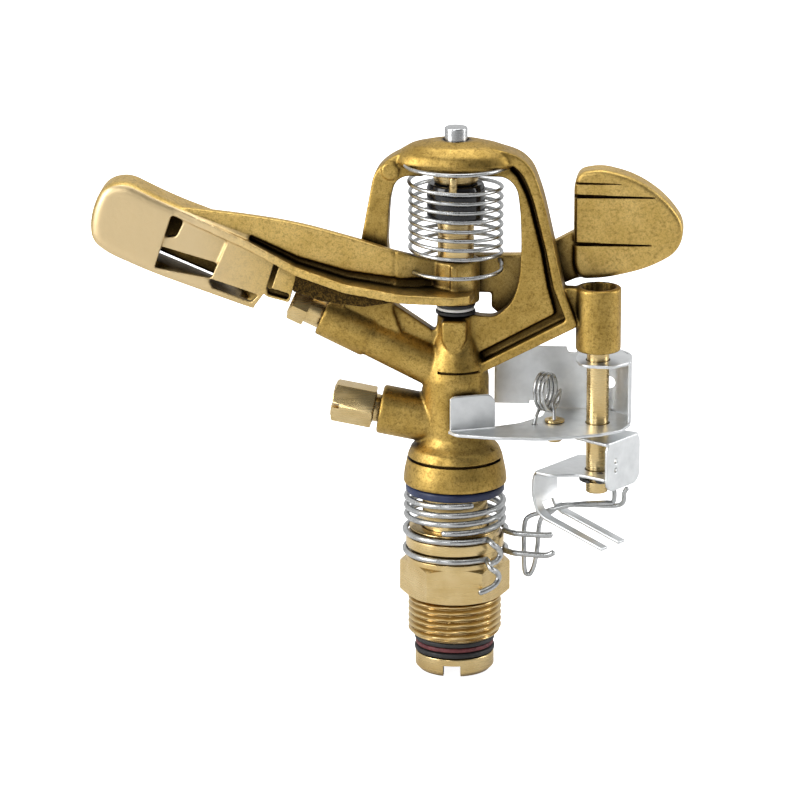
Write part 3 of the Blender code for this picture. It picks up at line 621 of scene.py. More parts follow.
def soft_look(name, low, high, rough_low, rough_high, scale, bump):
    """Rubber, fibre and plastic: a colour that varies a little, with a fine skin."""
    s = Shader(name)
    s.feed("Base Color", s.ramp(s.noise(scale / 3, 4), rgba(*low), rgba(*high), 0.3, 0.7))
    s.feed("Roughness", s.ramp(s.noise(scale, 4), rough_low, rough_high, 0.3, 0.7))
    s.bump((s.noise(scale * 2, 3), bump, 0.04))
    return s.material


CAST_LOOKS = [
    # name, dark tone, light tone, how strong the dark grain is, whether the spoon's front is ground
    ("cast_brass", (0.45, 0.295, 0.072), (0.64, 0.44, 0.13), 0.66, False),
    # shadowed_brass is painted shade: a near-black copy of the cast brass for the rib in the lip's shadow.
    ("shadowed_brass", (0.020, 0.013, 0.006), (0.040, 0.026, 0.010), 0.5, False),
    ("arm_brass", (0.66, 0.45, 0.13), (0.84, 0.60, 0.21), 0.45, True),
]
STEEL_LOOKS = [
    # name, dark tone, light tone, roughness from and to, stretch of the streaks, bump
    ("steel_wire", (0.44, 0.45, 0.45), (0.62, 0.63, 0.63), 0.24, 0.36, (1.0, 1.0, 1.0), 0.02),
    ("sheet_steel", (0.76, 0.78, 0.79), (0.88, 0.90, 0.91), 0.32, 0.46, (0.25, 1.0, 5.0), 0.10),
    ("pin_steel", (0.56, 0.57, 0.58), (0.68, 0.69, 0.70), 0.22, 0.34, (0.1, 0.1, 5.0), 0.10),
    ("dark_steel", (0.05, 0.05, 0.05), (0.12, 0.12, 0.12), 0.30, 0.45, (1.0, 1.0, 1.0), 0.10),
]
SOFT_LOOKS = [
    # name, dark tone, light tone, roughness from and to, scale of the skin, bump
    ("black_rubber", (0.012, 0.012, 0.013), (0.03, 0.03, 0.032), 0.45, 0.65, 900, 0.2),
    ("blue_seal", (0.010, 0.017, 0.055), (0.022, 0.034, 0.095), 0.32, 0.5, 900, 0.2),
    ("red_fibre", (0.085, 0.014, 0.018), (0.20, 0.045, 0.05), 0.45, 0.7, 2400, 0.5),
    ("white_nylon", (0.74, 0.74, 0.72), (0.84, 0.84, 0.82), 0.35, 0.5, 900, 0.2),
    ("black_plastic", (0.008, 0.008, 0.010), (0.016, 0.016, 0.02), 0.08, 0.2, 500, 0.05),
]
looks = {"machined_brass": machined_brass_material()}
for make, rows in ((cast_look, CAST_LOOKS), (steel_look, STEEL_LOOKS), (soft_look, SOFT_LOOKS)):
    for look, *values in rows:
        looks[look] = make(look + "_look", *values)


def show(piece, body, look, *nodes, slot=None):
    """Dress a piece, let it ride on its body and stand for its nodes."""
    piece.data.materials.clear()
    piece.data.materials.append(looks[look])
    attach(piece, body)
    if nodes:
        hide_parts(*nodes)
    return piece


# Inlet stack

def make_bearing_tube():
    """Slotted flange and the tube that turns in the nipple."""
    corners = [
        (TUBE_RADIUS, TUBE_TOP, 0.3), (TUBE_RADIUS, FLANGE_TOP, 0.2), (FLANGE_RADIUS, FLANGE_TOP, 0.35),
        (FLANGE_RADIUS, 1.3, 0.5), (FLANGE_RADIUS - 1.2, 0, 0.4), (TUBE_BORE, 0, 0.3),
        (TUBE_BORE, TUBE_TOP, 0.2),
    ]
    tube = turned("bearing_tube_look", outline(corners, 4), FINE, True)
    cut(tube, slab("slot", [(-2.45, -20), (2.45, -20), (2.45, 20), (-2.45, 20)], -1, 3.4))
    polish(tube)
    return show(tube, "head", "machined_brass", "bearing_tube")


def show_washer(node, bore, radius, low, high, steps, edge, look):
    washer = ring(node + "_look", bore, radius, low, high, steps, edge)
    washer.data.shade_smooth()
    show(washer, "head", look, node)


def make_washers():
    """The soft rings under and over the nipple, well rounded at their edges."""
    rows = [
        ("lower_rubber_washer", 5.65, 7.0, 11.35, "black_rubber"),
        ("fibre_washer", 7.3, 8.5, 11.05, "red_fibre"),
        ("upper_rubber_washer", 8.8, 10.1, 11.35, "black_rubber"),
        ("dust_seal", 52.4, 54.8, 13.95, "blue_seal"),
    ]
    for node, low, high, radius, look in rows:
        show_washer(node, SEAL_BORE, radius, low, high, FINE, (high - low) * 0.3, look)


def thread_body(low, high, steps=144):
    """A screw thread about Z as a closed solid, with its two ends run out on a chamfer."""
    shape = bmesh.new()
    rows = int((high - low) / THREAD_PITCH * 12)
    grid = []
    for row in range(rows + 1):
        height = low + (high - low) * row / rows
        line = []
        for step in range(steps):
            angle = 2 * math.pi * step / steps
            phase = (height / THREAD_PITCH - step / steps) % 1.0
            ramp = abs(2 * phase - 1)
            tooth = min(1.0, max(0.0, (ramp - 0.12) / 0.70))
            radius = THREAD_ROOT + (THREAD_RADIUS - THREAD_ROOT) * tooth
            radius = min(radius, THREAD_ROOT - 0.25 + (height - low), THREAD_RADIUS)
            radius = min(radius, THREAD_ROOT + max(0.0, high - 0.2 - height) * 1.2)
            line.append(shape.verts.new((
                radius * math.cos(angle) * MM, radius * math.sin(angle) * MM, height * MM
            )))
        grid.append(line)
    for below, above in zip(grid, grid[1:]):
        for step in range(steps):
            after = (step + 1) % steps
            shape.faces.new((below[step], below[after], above[after], above[step]))
    shape.faces.new(list(reversed(grid[0])))
    shape.faces.new(grid[-1])
    return put_shape("thread", shape)


def make_nipple():
    """Inlet nipple: thread, hexagon, and the collar with two grooves for the trip clips."""
    upper = UPPER_CLIP_HEIGHT
    lower = LOWER_CLIP_HEIGHT
    rows = [
        (SEAL_BORE, COLLAR_TOP, 0.2), (CLIP_GROOVE_RADIUS + 0.4, COLLAR_TOP, 0.2),
        (CLIP_GROOVE_RADIUS, upper + 0.8, 0.2), (CLIP_GROOVE_RADIUS, upper - 0.95, 0.25),
        (COLLAR_RADIUS, upper - 1.35, 0.25), (COLLAR_RADIUS, lower + 1.35, 0.25),
        (CLIP_GROOVE_RADIUS, lower + 0.95, 0.25), (CLIP_GROOVE_RADIUS, lower - 0.95, 0.25),
        (COLLAR_RADIUS, lower - 1.35, 0.25), (COLLAR_RADIUS, HEX_TOP - 0.4), (12.0, HEX_TOP - 1.0),
        (12.0, HEX_BOTTOM - 1.2), (THREAD_ROOT - 0.3, HEX_BOTTOM - 1.4),
        (THREAD_ROOT - 0.3, NIPPLE_BOTTOM, 0.2), (SEAL_BORE, NIPPLE_BOTTOM, 0.2),
    ]
    nipple = turned("inlet_nipple_look", outline(rows, 3), FINE, True)
    hexagon = prism("hexagon", 6, HEX_FLATS, HEX_BOTTOM, HEX_TOP, HEX_TURN)
    chamfer = turned("chamfer", [
        (0, HEX_TOP + 1), (12.9, HEX_TOP + 1), (12.9, HEX_TOP + 0.4),
        (HEX_FLATS / 2 + 3.0, HEX_TOP - 1.5), (HEX_FLATS / 2 + 3.0, HEX_BOTTOM + 1.2),
        (13.4, HEX_BOTTOM - 0.1), (13.4, HEX_BOTTOM - 1), (0, HEX_BOTTOM - 1),
    ])
    combine(hexagon, chamfer, "INTERSECT")
    thread = thread_body(NIPPLE_BOTTOM + 0.15, HEX_BOTTOM + 0.6)
    join(thread, hexagon)
    cut(thread, rod("bore", SEAL_BORE + 1.2, NIPPLE_BOTTOM - 2, HEX_TOP + 2))
    join(nipple, thread)
    polish(nipple, 38)
    return show(nipple, "nipple", "machined_brass", "inlet_nipple")


def make_clip(node, body, height, arm_angle, arm_length, hook, lift):
    """Friction clip: a sprung ring with one long stop arm and one short hook."""
    towards = math.radians(arm_angle)
    stations = [(arm_length, lift), (arm_length - 2.4, 0.15), (20.0, 0.0), (17.5, 0.0)]
    corners = [(far * math.cos(towards), far * math.sin(towards), height + up) for far, up in stations]
    corners += arc(CLIP_RING_RADIUS + 0.35, arm_angle + 7, arm_angle + 22, 2, height)
    ring_part = arc(CLIP_RING_RADIUS, arm_angle + 30, arm_angle + 326, 60, height)
    bends = [(x, -math.sqrt(HOOK_REACH ** 2 - x ** 2), z) for x, z in hook]
    path = smooth_path(corners + ring_part[:1]) + ring_part[1:-1] + smooth_path(ring_part[-1:] + bends)
    show(wire(node + "_look", path, CLIP_WIRE), body, "steel_wire", node)


def make_pressure_spring():
    """Open coils between the collar and the bell."""
    low = COLLAR_TOP + 1.25
    high = low + PRESSURE_PITCH * PRESSURE_SWEEP / 360
    path = helix(PRESSURE_SPRING_RADIUS, -100, -100 + PRESSURE_SWEEP, low, high)
    show(wire("pressure_spring_look", path, CLIP_WIRE), "nipple", "steel_wire", "pressure_spring")


# Head

def make_bell():
    """Bell, neck and arm post in one turned shape."""
    return turned("sprinkler_body_look", profile_of([
        (0, 104.0), (5.15, 104.0, 0.7), (5.25, 98.5, 2), (6.8, 94, 4), (8.6, 90, 4), (9.45, 86, 4),
        (9.45, 69.0, 2), (10.6, 67.0, 1), (12.4, 65.4, 1.2), (13.3, 63.2, 1.5), (14.3, 58.5, 3),
        (14.65, BELL_BOTTOM, 0.5), (0, BELL_BOTTOM),
    ]))


def make_arch():
    """Bridge over the arm: flat left leg, rounded top, and the right leg with its raised rim."""
    web = upright("arch_web", -2.2, 2.2, [
        (-35, 98.8), (-30.0, 107), (-25.8, 124.8), (-21.8, 145.4, SOFT), (-13, 151.4, 4),
        (13, 151.4, 4), (19.6, 148.2, SOFT), (23.4, 139.8, SOFT), (27.4, 123.0), (29.4, 112.4),
        (35.2, 112.2), (35.2, 102.5), (32.3, 101.2, 1.5), (5.9, 87.5), (-3.6, 86.6), (-7.6, 90.4),
    ])
    leg = upright("arch_left_leg", -3.5, 3.5, [
        (-36, 98.5), (-30.5, 107), (-26.3, 124.8), (-22.6, 145.2, SOFT), (-17, 150.0, SOFT),
        (-9, 152.2), (-9, 142.6), (-17.0, 139.6, 2), (-18.9, 124.8), (-17.2, 105), (-14, 96),
    ], 0.5)
    rim = upright("arch_rim", -4.55, 4.55, [
        (10, 152.7), (20.4, 149.6, SOFT), (24.2, 140, SOFT), (28.0, 123.2), (30.2, 113),
        (34.5, 101.9, 1.5), (5.6, 86.8), (5.0, 89.4), (31.2, 103.6, 1), (27.6, 113), (25.6, 123.0),
        (21.6, 139, SOFT), (18.0, 147.2, SOFT), (10, 149.8),
    ], 0.35)
    window = upright("arch_window", -20, 20, [
        (-18.2, 137.6, SOFT), (-16.0, 143.8, SOFT), (-9, 143.8), (9, 143.8), (14.2, 143.8, SOFT),
        (17.2, 140.6, SOFT), (18.1, 133.9, SOFT), (18.5, 123.7, SOFT), (17.9, 113.9, SOFT),
        (15.8, 107.4, SOFT), (11.0, 103.6, SOFT), (7.2, 103.8), (4.4, 104.3), (-4.6, 104.3),
        (-5.6, 99.0), (-17.0, 106.6, 1.5), (-18.9, 124.8),
    ])
    for near, far in ((-5.0, -0.6), (0.6, 5.0)):
        cut(web, upright("rim_trench", near, far, [
            (5.0, 89.4), (31.2, 103.6, 1), (27.6, 113), (25.6, 123), (21.6, 139, SOFT),
            (18.0, 147.2, SOFT), (12.0, 149.6), (12.0, 147.8), (16.4, 145.6, SOFT), (20.1, 138.6, SOFT),
            (24.1, 122.7), (25.9, 112.7), (28.0, 105.0, 1), (5.4, 92.4),
        ]))
    join(web, leg, rim)
    return cut(web, window)


def make_dome():
    """Oval boss that holds the top of the fulcrum pin."""
    dome = turned("arch_dome", profile_of([
        (0, 153.9), (6, 153.9, 3), (11.5, 152.6, 6), (15.0, 150.3, 3), (16.0, 147.9, 0.5),
        (15.4, 147.0, 0.4), (10.5, 145.0, 2), (7.4, 143.9, 0.5), (0, 143.8),
    ]))
    dome.data.transform(Matrix.Diagonal((1.08, 0.66, 1.0, 1.0)))
    return dome


def make_body():
    """The cast head: bell, passages, arch and trip shaft sleeve, with its bores."""
    body = make_bell()
    tube = aim(turned("range_tube", profile_of([
        (0, RANGE_TUBE_MOUTH), (6.25, RANGE_TUBE_MOUTH, 0.5), (6.45, 26.6, 0.3), (6.0, 26.2, 0.2),
        (6.4, 8), (6.6, 0), (0, 0),
    ]), MEDIUM), JET_RISE, JET_HEIGHT)
    boss = aim(rod("spreader_boss", 6.9, 0, 21.5, MEDIUM, 0.7), SPREADER_RISE, SPREADER_HEIGHT)
    sleeve = shift(rod("shaft_sleeve", 6.35, 94.35, 112.55, MEDIUM, 0.5), SHAFT_X)
    disc = lie(rod("disc", 2.4, 0, 1.2, SMALL, 0.3), -18.0, -3.0, 145.3)
    facet = upright("post_facet", -6.9, -3.0, [
        (-3.6, 103.4, 1), (3.6, 103.4, 1), (3.4, 97.5, 2), (0, 92.0, 1.4), (-3.4, 97.5, 2),
    ], 0.9)
    merge(body, make_arch(), make_dome(), tube, boss, sleeve, facet, disc)
    cast(body, 0.40, 2)
    seam = ring("bell_seam", 12.5, 20, 62.2, 63.0, FINE, 0.05)
    seam_ends = slab("seam_ends", [(-15, -16), (13, -16), (13, 4), (-15, 4)], 60, 65)
    combine(seam, seam_ends, "INTERSECT")
    parting = slab("neck_parting", [(-4.4, -12), (7.4, -12), (7.4, -5), (-4.4, -5)], 88.3, 89.0)
    cut(parting, rod("neck_core", 8.1, 85, 92))
    bores = [
        seam, parting,
        rod("tube_socket", TUBE_RADIUS + 0.3, BELL_BOTTOM - 1, 62.3, FINE),
        rod("water_way", 6.6, 61, 84),
        aim(rod("range_bore", 3.9, 0, 60), JET_RISE, JET_HEIGHT - 4),
        aim(rod("nozzle_socket", 4.6, RANGE_TUBE_MOUTH - 8, 60), JET_RISE, JET_HEIGHT),
        aim(rod("spreader_bore", 4.2, 0, 40), SPREADER_RISE, SPREADER_HEIGHT),
        rod("pin_socket", PIN_BORE, 96, 120),
        rod("dome_bore", PIN_BORE, 130, 160),
        shift(rod("shaft_bore", SHAFT_RADIUS + 0.3, 89, 118), SHAFT_X),
        shift(rod("sleeve_cup", 4.9, 106, 118), SHAFT_X),
        lie(rod("bell_hole", 0.9, -13.4, -8.0, SMALL), 11.0, -18.0, 66.4),
    ]
    cut(body, *bores)
    soften(body, 1)
    return show(body, "head", "cast_brass", "sprinkler_body")


def make_nozzle(node, rise, height, corners, flats, low, high, chamfer, bore, *cuts):
    """A brass nozzle: a turned body and a bored, chamfered hexagon, laid on its passage."""
    nozzle = turned(node + "_look", outline(corners, 3), MEDIUM, True)
    head = prism("nozzle_hexagon", 6, flats, low, high, math.radians(30))
    combine(head, turned("chamfer", chamfer, MEDIUM), "INTERSECT")
    cut(head, rod("head_bore", bore, low - 5, high + 5))
    join(nozzle, head)
    cut(nozzle, *cuts)
    aim(nozzle, rise, height)
    show(machined(nozzle), "head", "machined_brass", node)


def make_main_nozzle():
    """Range nozzle: hexagon head, round collar and a tapered bore."""
    mouth = RANGE_TUBE_MOUTH
    make_nozzle("main_nozzle", JET_RISE, JET_HEIGHT, [
        (2.4, mouth + 9.4, 0.2), (3.9, mouth + 9.4, 0.3), (4.5, mouth + 8.8), (4.5, mouth + 4.3),
        (4.3, mouth + 4.2), (4.3, mouth - 7.4, 0.2), (3.4, mouth - 7.4, 0.2),
    ], 9.6, mouth + 4.2, mouth + 9.0, [
        (0, mouth + 10), (4.4, mouth + 10), (4.4, mouth + 9.3), (6.2, mouth + 8.2), (6.2, mouth + 3),
        (0, mouth + 3),
    ], 3.6)


def make_spreader_nozzle():
    """Short-range nozzle: a slotted hexagon screwed into the lower boss."""
    face = 21.8
    make_nozzle("spreader_nozzle", SPREADER_RISE, SPREADER_HEIGHT, [
        (1.2, face + 13.3, 0.2), (4.6, face + 13.3, 0.3), (4.6, face + 1.4, 0.2), (3.9, face + 1.2),
        (3.9, face - 7, 0.2), (2.2, face - 7, 0.2),
    ], 10.6, face + 1.5, face + 13.0, [
        (0, face + 14), (4.9, face + 14), (4.9, face + 13.2), (7.0, face + 12.0), (7.0, face + 2.4),
        (5.0, face + 1.0), (0, face + 1.0),
    ], 3.4, slab("spreader_slot", [(-8, -0.7), (8, -0.7), (8, 0.7), (-8, 0.7)], face + 11, face + 15))


def make_pin_stack():
    """Fulcrum pin, the washers under the arm, and the collar and bush above it."""
    pin = rod("fulcrum_pin_look", PIN_RADIUS, 96.3, PIN_TOP, MEDIUM, 0.45)
    polish(pin, 50)
    show(pin, "head", "pin_steel", "fulcrum_pin")
    rows = [
        ("lower_arm_washer", 104.3, 105.1, 5.6, "black_rubber"),
        ("nylon_arm_washer", 105.4, 106.2, 5.3, "white_nylon"),
        ("upper_arm_washer", 106.5, 107.3, 5.6, "black_rubber"),
    ]
    for node, low, high, radius, look in rows:
        show_washer(node, PIN_BORE, radius, low, high, MEDIUM, 0.2, look)
    collar = turned("arm_collar_look", outline([
        (PIN_BORE, 130.9, 0.1), (5.1, 130.9, 0.3), (5.1, 127.2, 0.1), (4.7, 127.0, 0.1),
        (4.7, 126.4, 0.1), (5.1, 126.2, 0.1), (5.1, 120.1, 0.3), (PIN_BORE, 120.1, 0.1),
    ], 3), MEDIUM, True)
    polish(collar)
    show(collar, "head", "machined_brass", "arm_collar")
    bush = turned("top_bush_look", outline([
        (PIN_BORE, 141.6, 0.2), (7.6, 141.6, 0.6), (8.1, 140.2, 0.3), (8.1, 132.4, 0.3),
        (7.7, 131.2, 0.6), (PIN_BORE, 131.2, 0.2),
    ], 4), MEDIUM, True)
    bush.data.shade_smooth()
    show(bush, "head", "black_plastic", "top_bush")
    neck = turned("bush_sleeve", outline([
        (PIN_BORE, 145.0, 0.1), (6.7, 145.0, 0.2), (6.1, 141.9, 0.3), (PIN_BORE, 141.9, 0.1),
    ], 3), MEDIUM, True)
    rivet = shift(rod("rivet", 1.15, 139.9, 145.0, SMALL, 0.7), -0.2, -7.6)
    merge(neck, rivet)
    polish(neck)
    show(neck, "head", "machined_brass")


# Arm

def make_arm_spring():
    """Torsion spring round the bush, from the arch down to the arm, which twists between them."""
    # Each helix ends 5 to 7 degrees before the next one starts, and the wire runs straight between.
    radius = ARM_SPRING_RADIUS
    rows = [
        [(11.9, 5.4, 118.4), (12.6, 3.6, 117.6)],
        helix(radius, 8, -176, 117.1, 117.1),
        helix(radius, -182, -330, 117.4, 121.7),
        helix(radius, -335, -2970, 121.75, 141.1),
        helix(radius, -2975, -3140, 141.2, 142.6, 13.4),
        helix(13.4, -3147, -3258, 142.9, 146.6, 14.2),
        helix(14.2, -3265, -3392, 146.8, 147.0, 14.5),
        [(-13.6, -6.0, 147.3), (-13.9, -5.0, 148.0)],
    ]
    spring = wire("arm_spring_look", [point for row in rows for point in row], ARM_SPRING_WIRE)
    spring.data.materials.clear()
    spring.data.materials.append(looks["steel_wire"])
    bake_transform(spring)
    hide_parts("arm_spring")


def spoon_parts():
    """The end that the jet strikes: solids to join and solids to cut."""
    block = upright("arm_spoon", SPOON_FRONT, SPOON_BACK, [
        (-101.7, 129.6, SOFT), (-100.4, 135.4, SOFT), (-97.6, 140.6, SOFT), (-91.5, 142.1, SOFT),
        (-79, 136.0, SOFT), (-57, 128.0), (-38, 121.1), (-38, 100.0), (-58.6, 106.7),
        (-84.4, 115.6, SOFT), (-96.6, 120.9, SOFT), (-101.2, 124.4, SOFT),
    ], 2.8)
    cast(block, 0.36, 0)
    end = upright("spoon_end", SPOON_FRONT - 4, SPOON_BACK + 4, [
        (-57, 140), (-57, 123.5), (-50.4, 119.6), (-43.4, 117.2), (-45.8, 108.4, 0.4),
        (-52.2, 110.0, 0.4), (-52.7, 111.0), (-55.6, 107.0, 0.3), (-57.6, 100), (-30, 90), (-30, 140),
    ])
    channel = upright("jet_channel", SPOON_FRONT + 2.2, SPOON_BACK + 4, [
        (-86, 119.6, 2), (-88, 131.5, 3), (-76, 134.2), (-58, 128), (-40, 122), (-30, 122), (-30, 98),
        (-56, 103.5), (-60, 109.0),
    ])
    window = upright("spoon_window", SPOON_FRONT - 4, SPOON_FRONT + 4, [
        (-78.4, 133.2, 0.8), (-62.9, 125.8, 0.5), (-67.6, 114.9, 0.4), (-83.5, 117.6, 0.4),
    ])
    slot = upright("spoon_slot", SPOON_FRONT - 4, SPOON_FRONT + 4, [
        (-49.8, 120.0), (-48.4, 119.5), (-50.9, 111.8), (-52.2, 112.2),
    ])
    under_bridge = upright("bridge_groove", SPOON_FRONT - 4, SPOON_FRONT + 3.6, [
        (-68.4, 115.0, 0.2), (-54.4, 110.4, 0.2), (-56.6, 108.3, 0.2), (-67.4, 112.2, 0.2),
    ])
    under_plate = upright("plate_groove", SPOON_FRONT - 4, SPOON_FRONT + 1.9, [
        (-51.6, 112.6, 0.2), (-45.6, 110.9, 0.2), (-46.1, 109.3, 0.2), (-51.9, 110.8, 0.2),
    ])
    vane = upright("spoon_vane", SPOON_FRONT + 0.8, SPOON_FRONT + 3.2, [
        (-76.0, 133.5), (-61.5, 126.5), (-64.6, 118.6, 0.5), (-82.0, 123.6, 0.5), (-81.0, 126.2, 0.4),
        (-77.4, 126.6, 1.0), (-75.6, 130.2, 1.2),
    ], 0.25)
    back = upright("back_vane", 1.8, 3.8, [
        (-87.5, 133.0), (-60, 129.5), (-59, 112.0), (-66.0, 112.3, 1), (-87.5, 121.3),
    ], 0.3)
    sill = upright("back_sill", 1.8, 3.8, [
        (-88.0, 118.4), (-66.0, 109.5), (-59.0, 110.6), (-54.4, 109.8), (-55.4, 105.8), (-58.0, 105.2),
        (-61.0, 106.0), (-84.0, 115.0),
    ], 0.3)
    stop = upright("slot_back", -2.0, 3.8, [
        (-56.5, 123.5), (-46.6, 119.2), (-47.0, 109.6), (-53.5, 108.6), (-56.5, 110.0),
    ], 0.3)
    return block, [end, channel, window, slot, under_bridge, under_plate], [vane, back, sill, stop]


def make_arm():
    """The impact arm in one casting: hub, web, forward lip, spoon, tail and counterweight."""
    arm = turned("impact_arm_look", [
        (PIN_BORE, HUB_TOP), (HUB_RADIUS, HUB_TOP), (HUB_RADIUS, HUB_BOTTOM), (PIN_BORE, HUB_BOTTOM),
    ], MEDIUM, True)
    web = upright("arm_web", -8.2, -5.2, [
        (-16.5, 111.0), (-16.5, 123.5), (-26.2, 126.5, SOFT), (-43.6, 131.0, SOFT),
        (-57.7, 133.0, SOFT), (-80, 135.2), (-80, 133), (-57.7, 124.0, 6), (-43.6, 117.0, 6),
        (-31, 112.9, 6),
    ], 0.7)
    root = upright("arm_root", -1.8, 1.7, [
        (0, 109.8), (0, 118.6), (-9.8, 121.0, 2), (-17.6, 123.4), (-17.6, 111.3), (-12, 110.6, 4),
    ])
    cut(root, upright("root_groove", -4, -0.4, [
        (-23, 113.0), (2, 111.6), (2, 114.4), (-23, 115.9),
    ]))
    spin(root, ROOT_TURN)
    lip = upright("arm_lip", -20, 10, [
        (9, 111.6), (-14, 112.8, 4), (-30, 115.2, 6), (-43.6, 119.3, 6), (-57.7, 126.3, 6),
        (-80, 135.6), (-80, 133.2), (-57.7, 123.8, 6), (-43.6, 116.8, 6), (-30, 112.7, 6),
        (-14, 110.3, 4), (9, 109.2),
    ])
    plan = slab("arm_lip_plan", outline([
        (5.6, -4.7), (4.8, -10.6, 2), (0, -14.3, 3), (-15, -15.5, 4), (-31, -14.2, 6), (-45, -12.2, 6),
        (-60, -10.5), (-82, -8.6), (-82, -6.6), (-10, -6.0), (-6, 3), (5, 3),
    ]), 100, 150)
    combine(lip, plan, "INTERSECT")
    # The rib in the lip's shadow is a piece of its own, coloured near black as painted shade.
    rib = upright("arm_rib", -9.4, -7.4, [
        (-47.0, 118.4), (-43.6, 117.4, 6), (-30, 113.6, 6), (-17, 111.6), (-17, 109.0), (-25, 107.6),
        (-37, 109.0), (-44.6, 111.6),
    ], 0.3)
    show(rib, "arm", "shadowed_brass", slot="cast_brass")
    beam = upright("arm_tail", 5.4, 9.4, [
        (3, 108.6), (3, 119.4), (20, 119.8, 3), (32.0, 126.5), (40, 128.5), (40, 114.4), (33.4, 113.3),
        (28, 111.0, 3), (28, 102.4, 3), (12, 102.4, 1), (9.6, 104.4), (9.6, 108.6),
    ], 0.5)
    weight = upright("arm_weight", 3.75, 11.9, [
        (32.6, 140.6, SOFT), (34.0, 144.0, SOFT), (40, 145.2, SOFT), (49.5, 142.9, SOFT),
        (58.0, 137.2, SOFT), (63.7, 129.4, SOFT), (62.0, 121.8, SOFT), (53.5, 116.9, SOFT),
        (42, 113.9, SOFT), (34.4, 113.4, SOFT), (32.6, 117, SOFT),
    ], 1.3)
    key = upright("hub_key", -7.6, -6.0, [
        (-0.9, 108.2), (0.9, 108.2), (0.9, 119.4), (-0.9, 119.4),
    ], 0.2)
    undercut = upright("lip_groove", -12.0, -6.3, [
        (-67, 130.8), (-57.7, 126.3, 6), (-43.6, 119.3, 6), (-30, 115.2, 6), (-14, 112.8, 4),
        (3, 112.0), (3, 114.6), (-14, 115.6, 4), (-30, 117.6, 6), (-43.6, 121.3, 6), (-57.7, 127.6, 6),
    ])
    block, tools, vanes = spoon_parts()
    cut(block, *tools)
    cut(web, undercut)
    merge(arm, web, root, lip, beam, weight, block, key, *vanes)
    cast(arm, 0.38, 2)
    grooves = [
        rod("arm_bore", PIN_BORE, 100, 125),
        upright("pad_edge", 2.0, 4.2, [
            (32.9, 123.5), (33.5, 123.5), (33.5, 137.3), (32.9, 137.3),
        ]),
    ]
    for low_x, high_x, height, deep, tall in (
        (32.0, 55.5, 137.3, 1.9, 1.2), (32.0, 54.5, 123.6, 1.9, 1.2), (32.9, 46.0, 141.0, 0.9, 0.7),
    ):
        grooves.append(upright("groove", 2.0, 3.75 + deep, [
            (low_x, height - tall / 2), (high_x, height - tall / 5), (high_x, height + tall / 5),
            (low_x, height + tall / 2),
        ]))
    cut(arm, *grooves)
    soften(arm, 1)
    return show(arm, "arm", "arm_brass", "impact_arm", slot="cast_brass")


# Trip gear

def make_trip_shaft():
    """Brass shaft that both levers turn on, and the retaining clip under them."""
    shaft = turned("trip_shaft_look", profile_of([
        (0, 105.0), (SHAFT_RADIUS, 105.0, 0.4), (SHAFT_RADIUS, 57.6, 0.1), (2.35, 57.5, 0.1),
        (2.35, 56.3, 0.1), (SHAFT_RADIUS, 56.2, 0.1), (SHAFT_RADIUS, 53.0, 0.5), (0, 53.0),
    ]), MEDIUM)
    shift(shaft, SHAFT_X)
    polish(shaft)
    show(shaft, "head", "machined_brass", "trip_shaft")
    clip = ring("shaft_clip_look", 2.6, 5.0, 56.5, 57.3, MEDIUM, 0.12)
    cut(clip, slab("clip_mouth", [(-1.9, -8), (1.9, -8), (1.9, 0), (-1.9, 0)], 55, 59))
    merge(clip, lie(ring("clip_loop", 1.0, 1.7, -0.35, 0.35, SMALL, 0.25), 1.2, -4.6, 58.2))
    shift(clip, SHAFT_X)
    polish(clip)
    show(clip, "head", "dark_steel", "shaft_clip")


def strip(name, path, half_span, place, thickness):
    """A bent strip of sheet: its path at both edges, joined by faces and given a thickness."""
    shape = bmesh.new()
    near = [shape.verts.new(Vector(place(point, -half_span)) * MM) for point in path]
    far = [shape.verts.new(Vector(place(point, half_span)) * MM) for point in path]
    for index in range(len(path) - 1):
        shape.faces.new((near[index], near[index + 1], far[index + 1], far[index]))
    thing = put_shape(name, shape)
    skin = thing.modifiers.new("sheet", "SOLIDIFY")
    skin.thickness = thickness * MM
    skin.offset = 0
    skin.use_even_offset = True
    return freeze(thing)


def wall(name, path, low, high):
    """An upright strip along a level path."""
    middle = (low + high) / 2

    def place(point, side):
        return (point[0], point[1], middle + side)

    return strip(name, path, (high - low) / 2, place, SHEET)


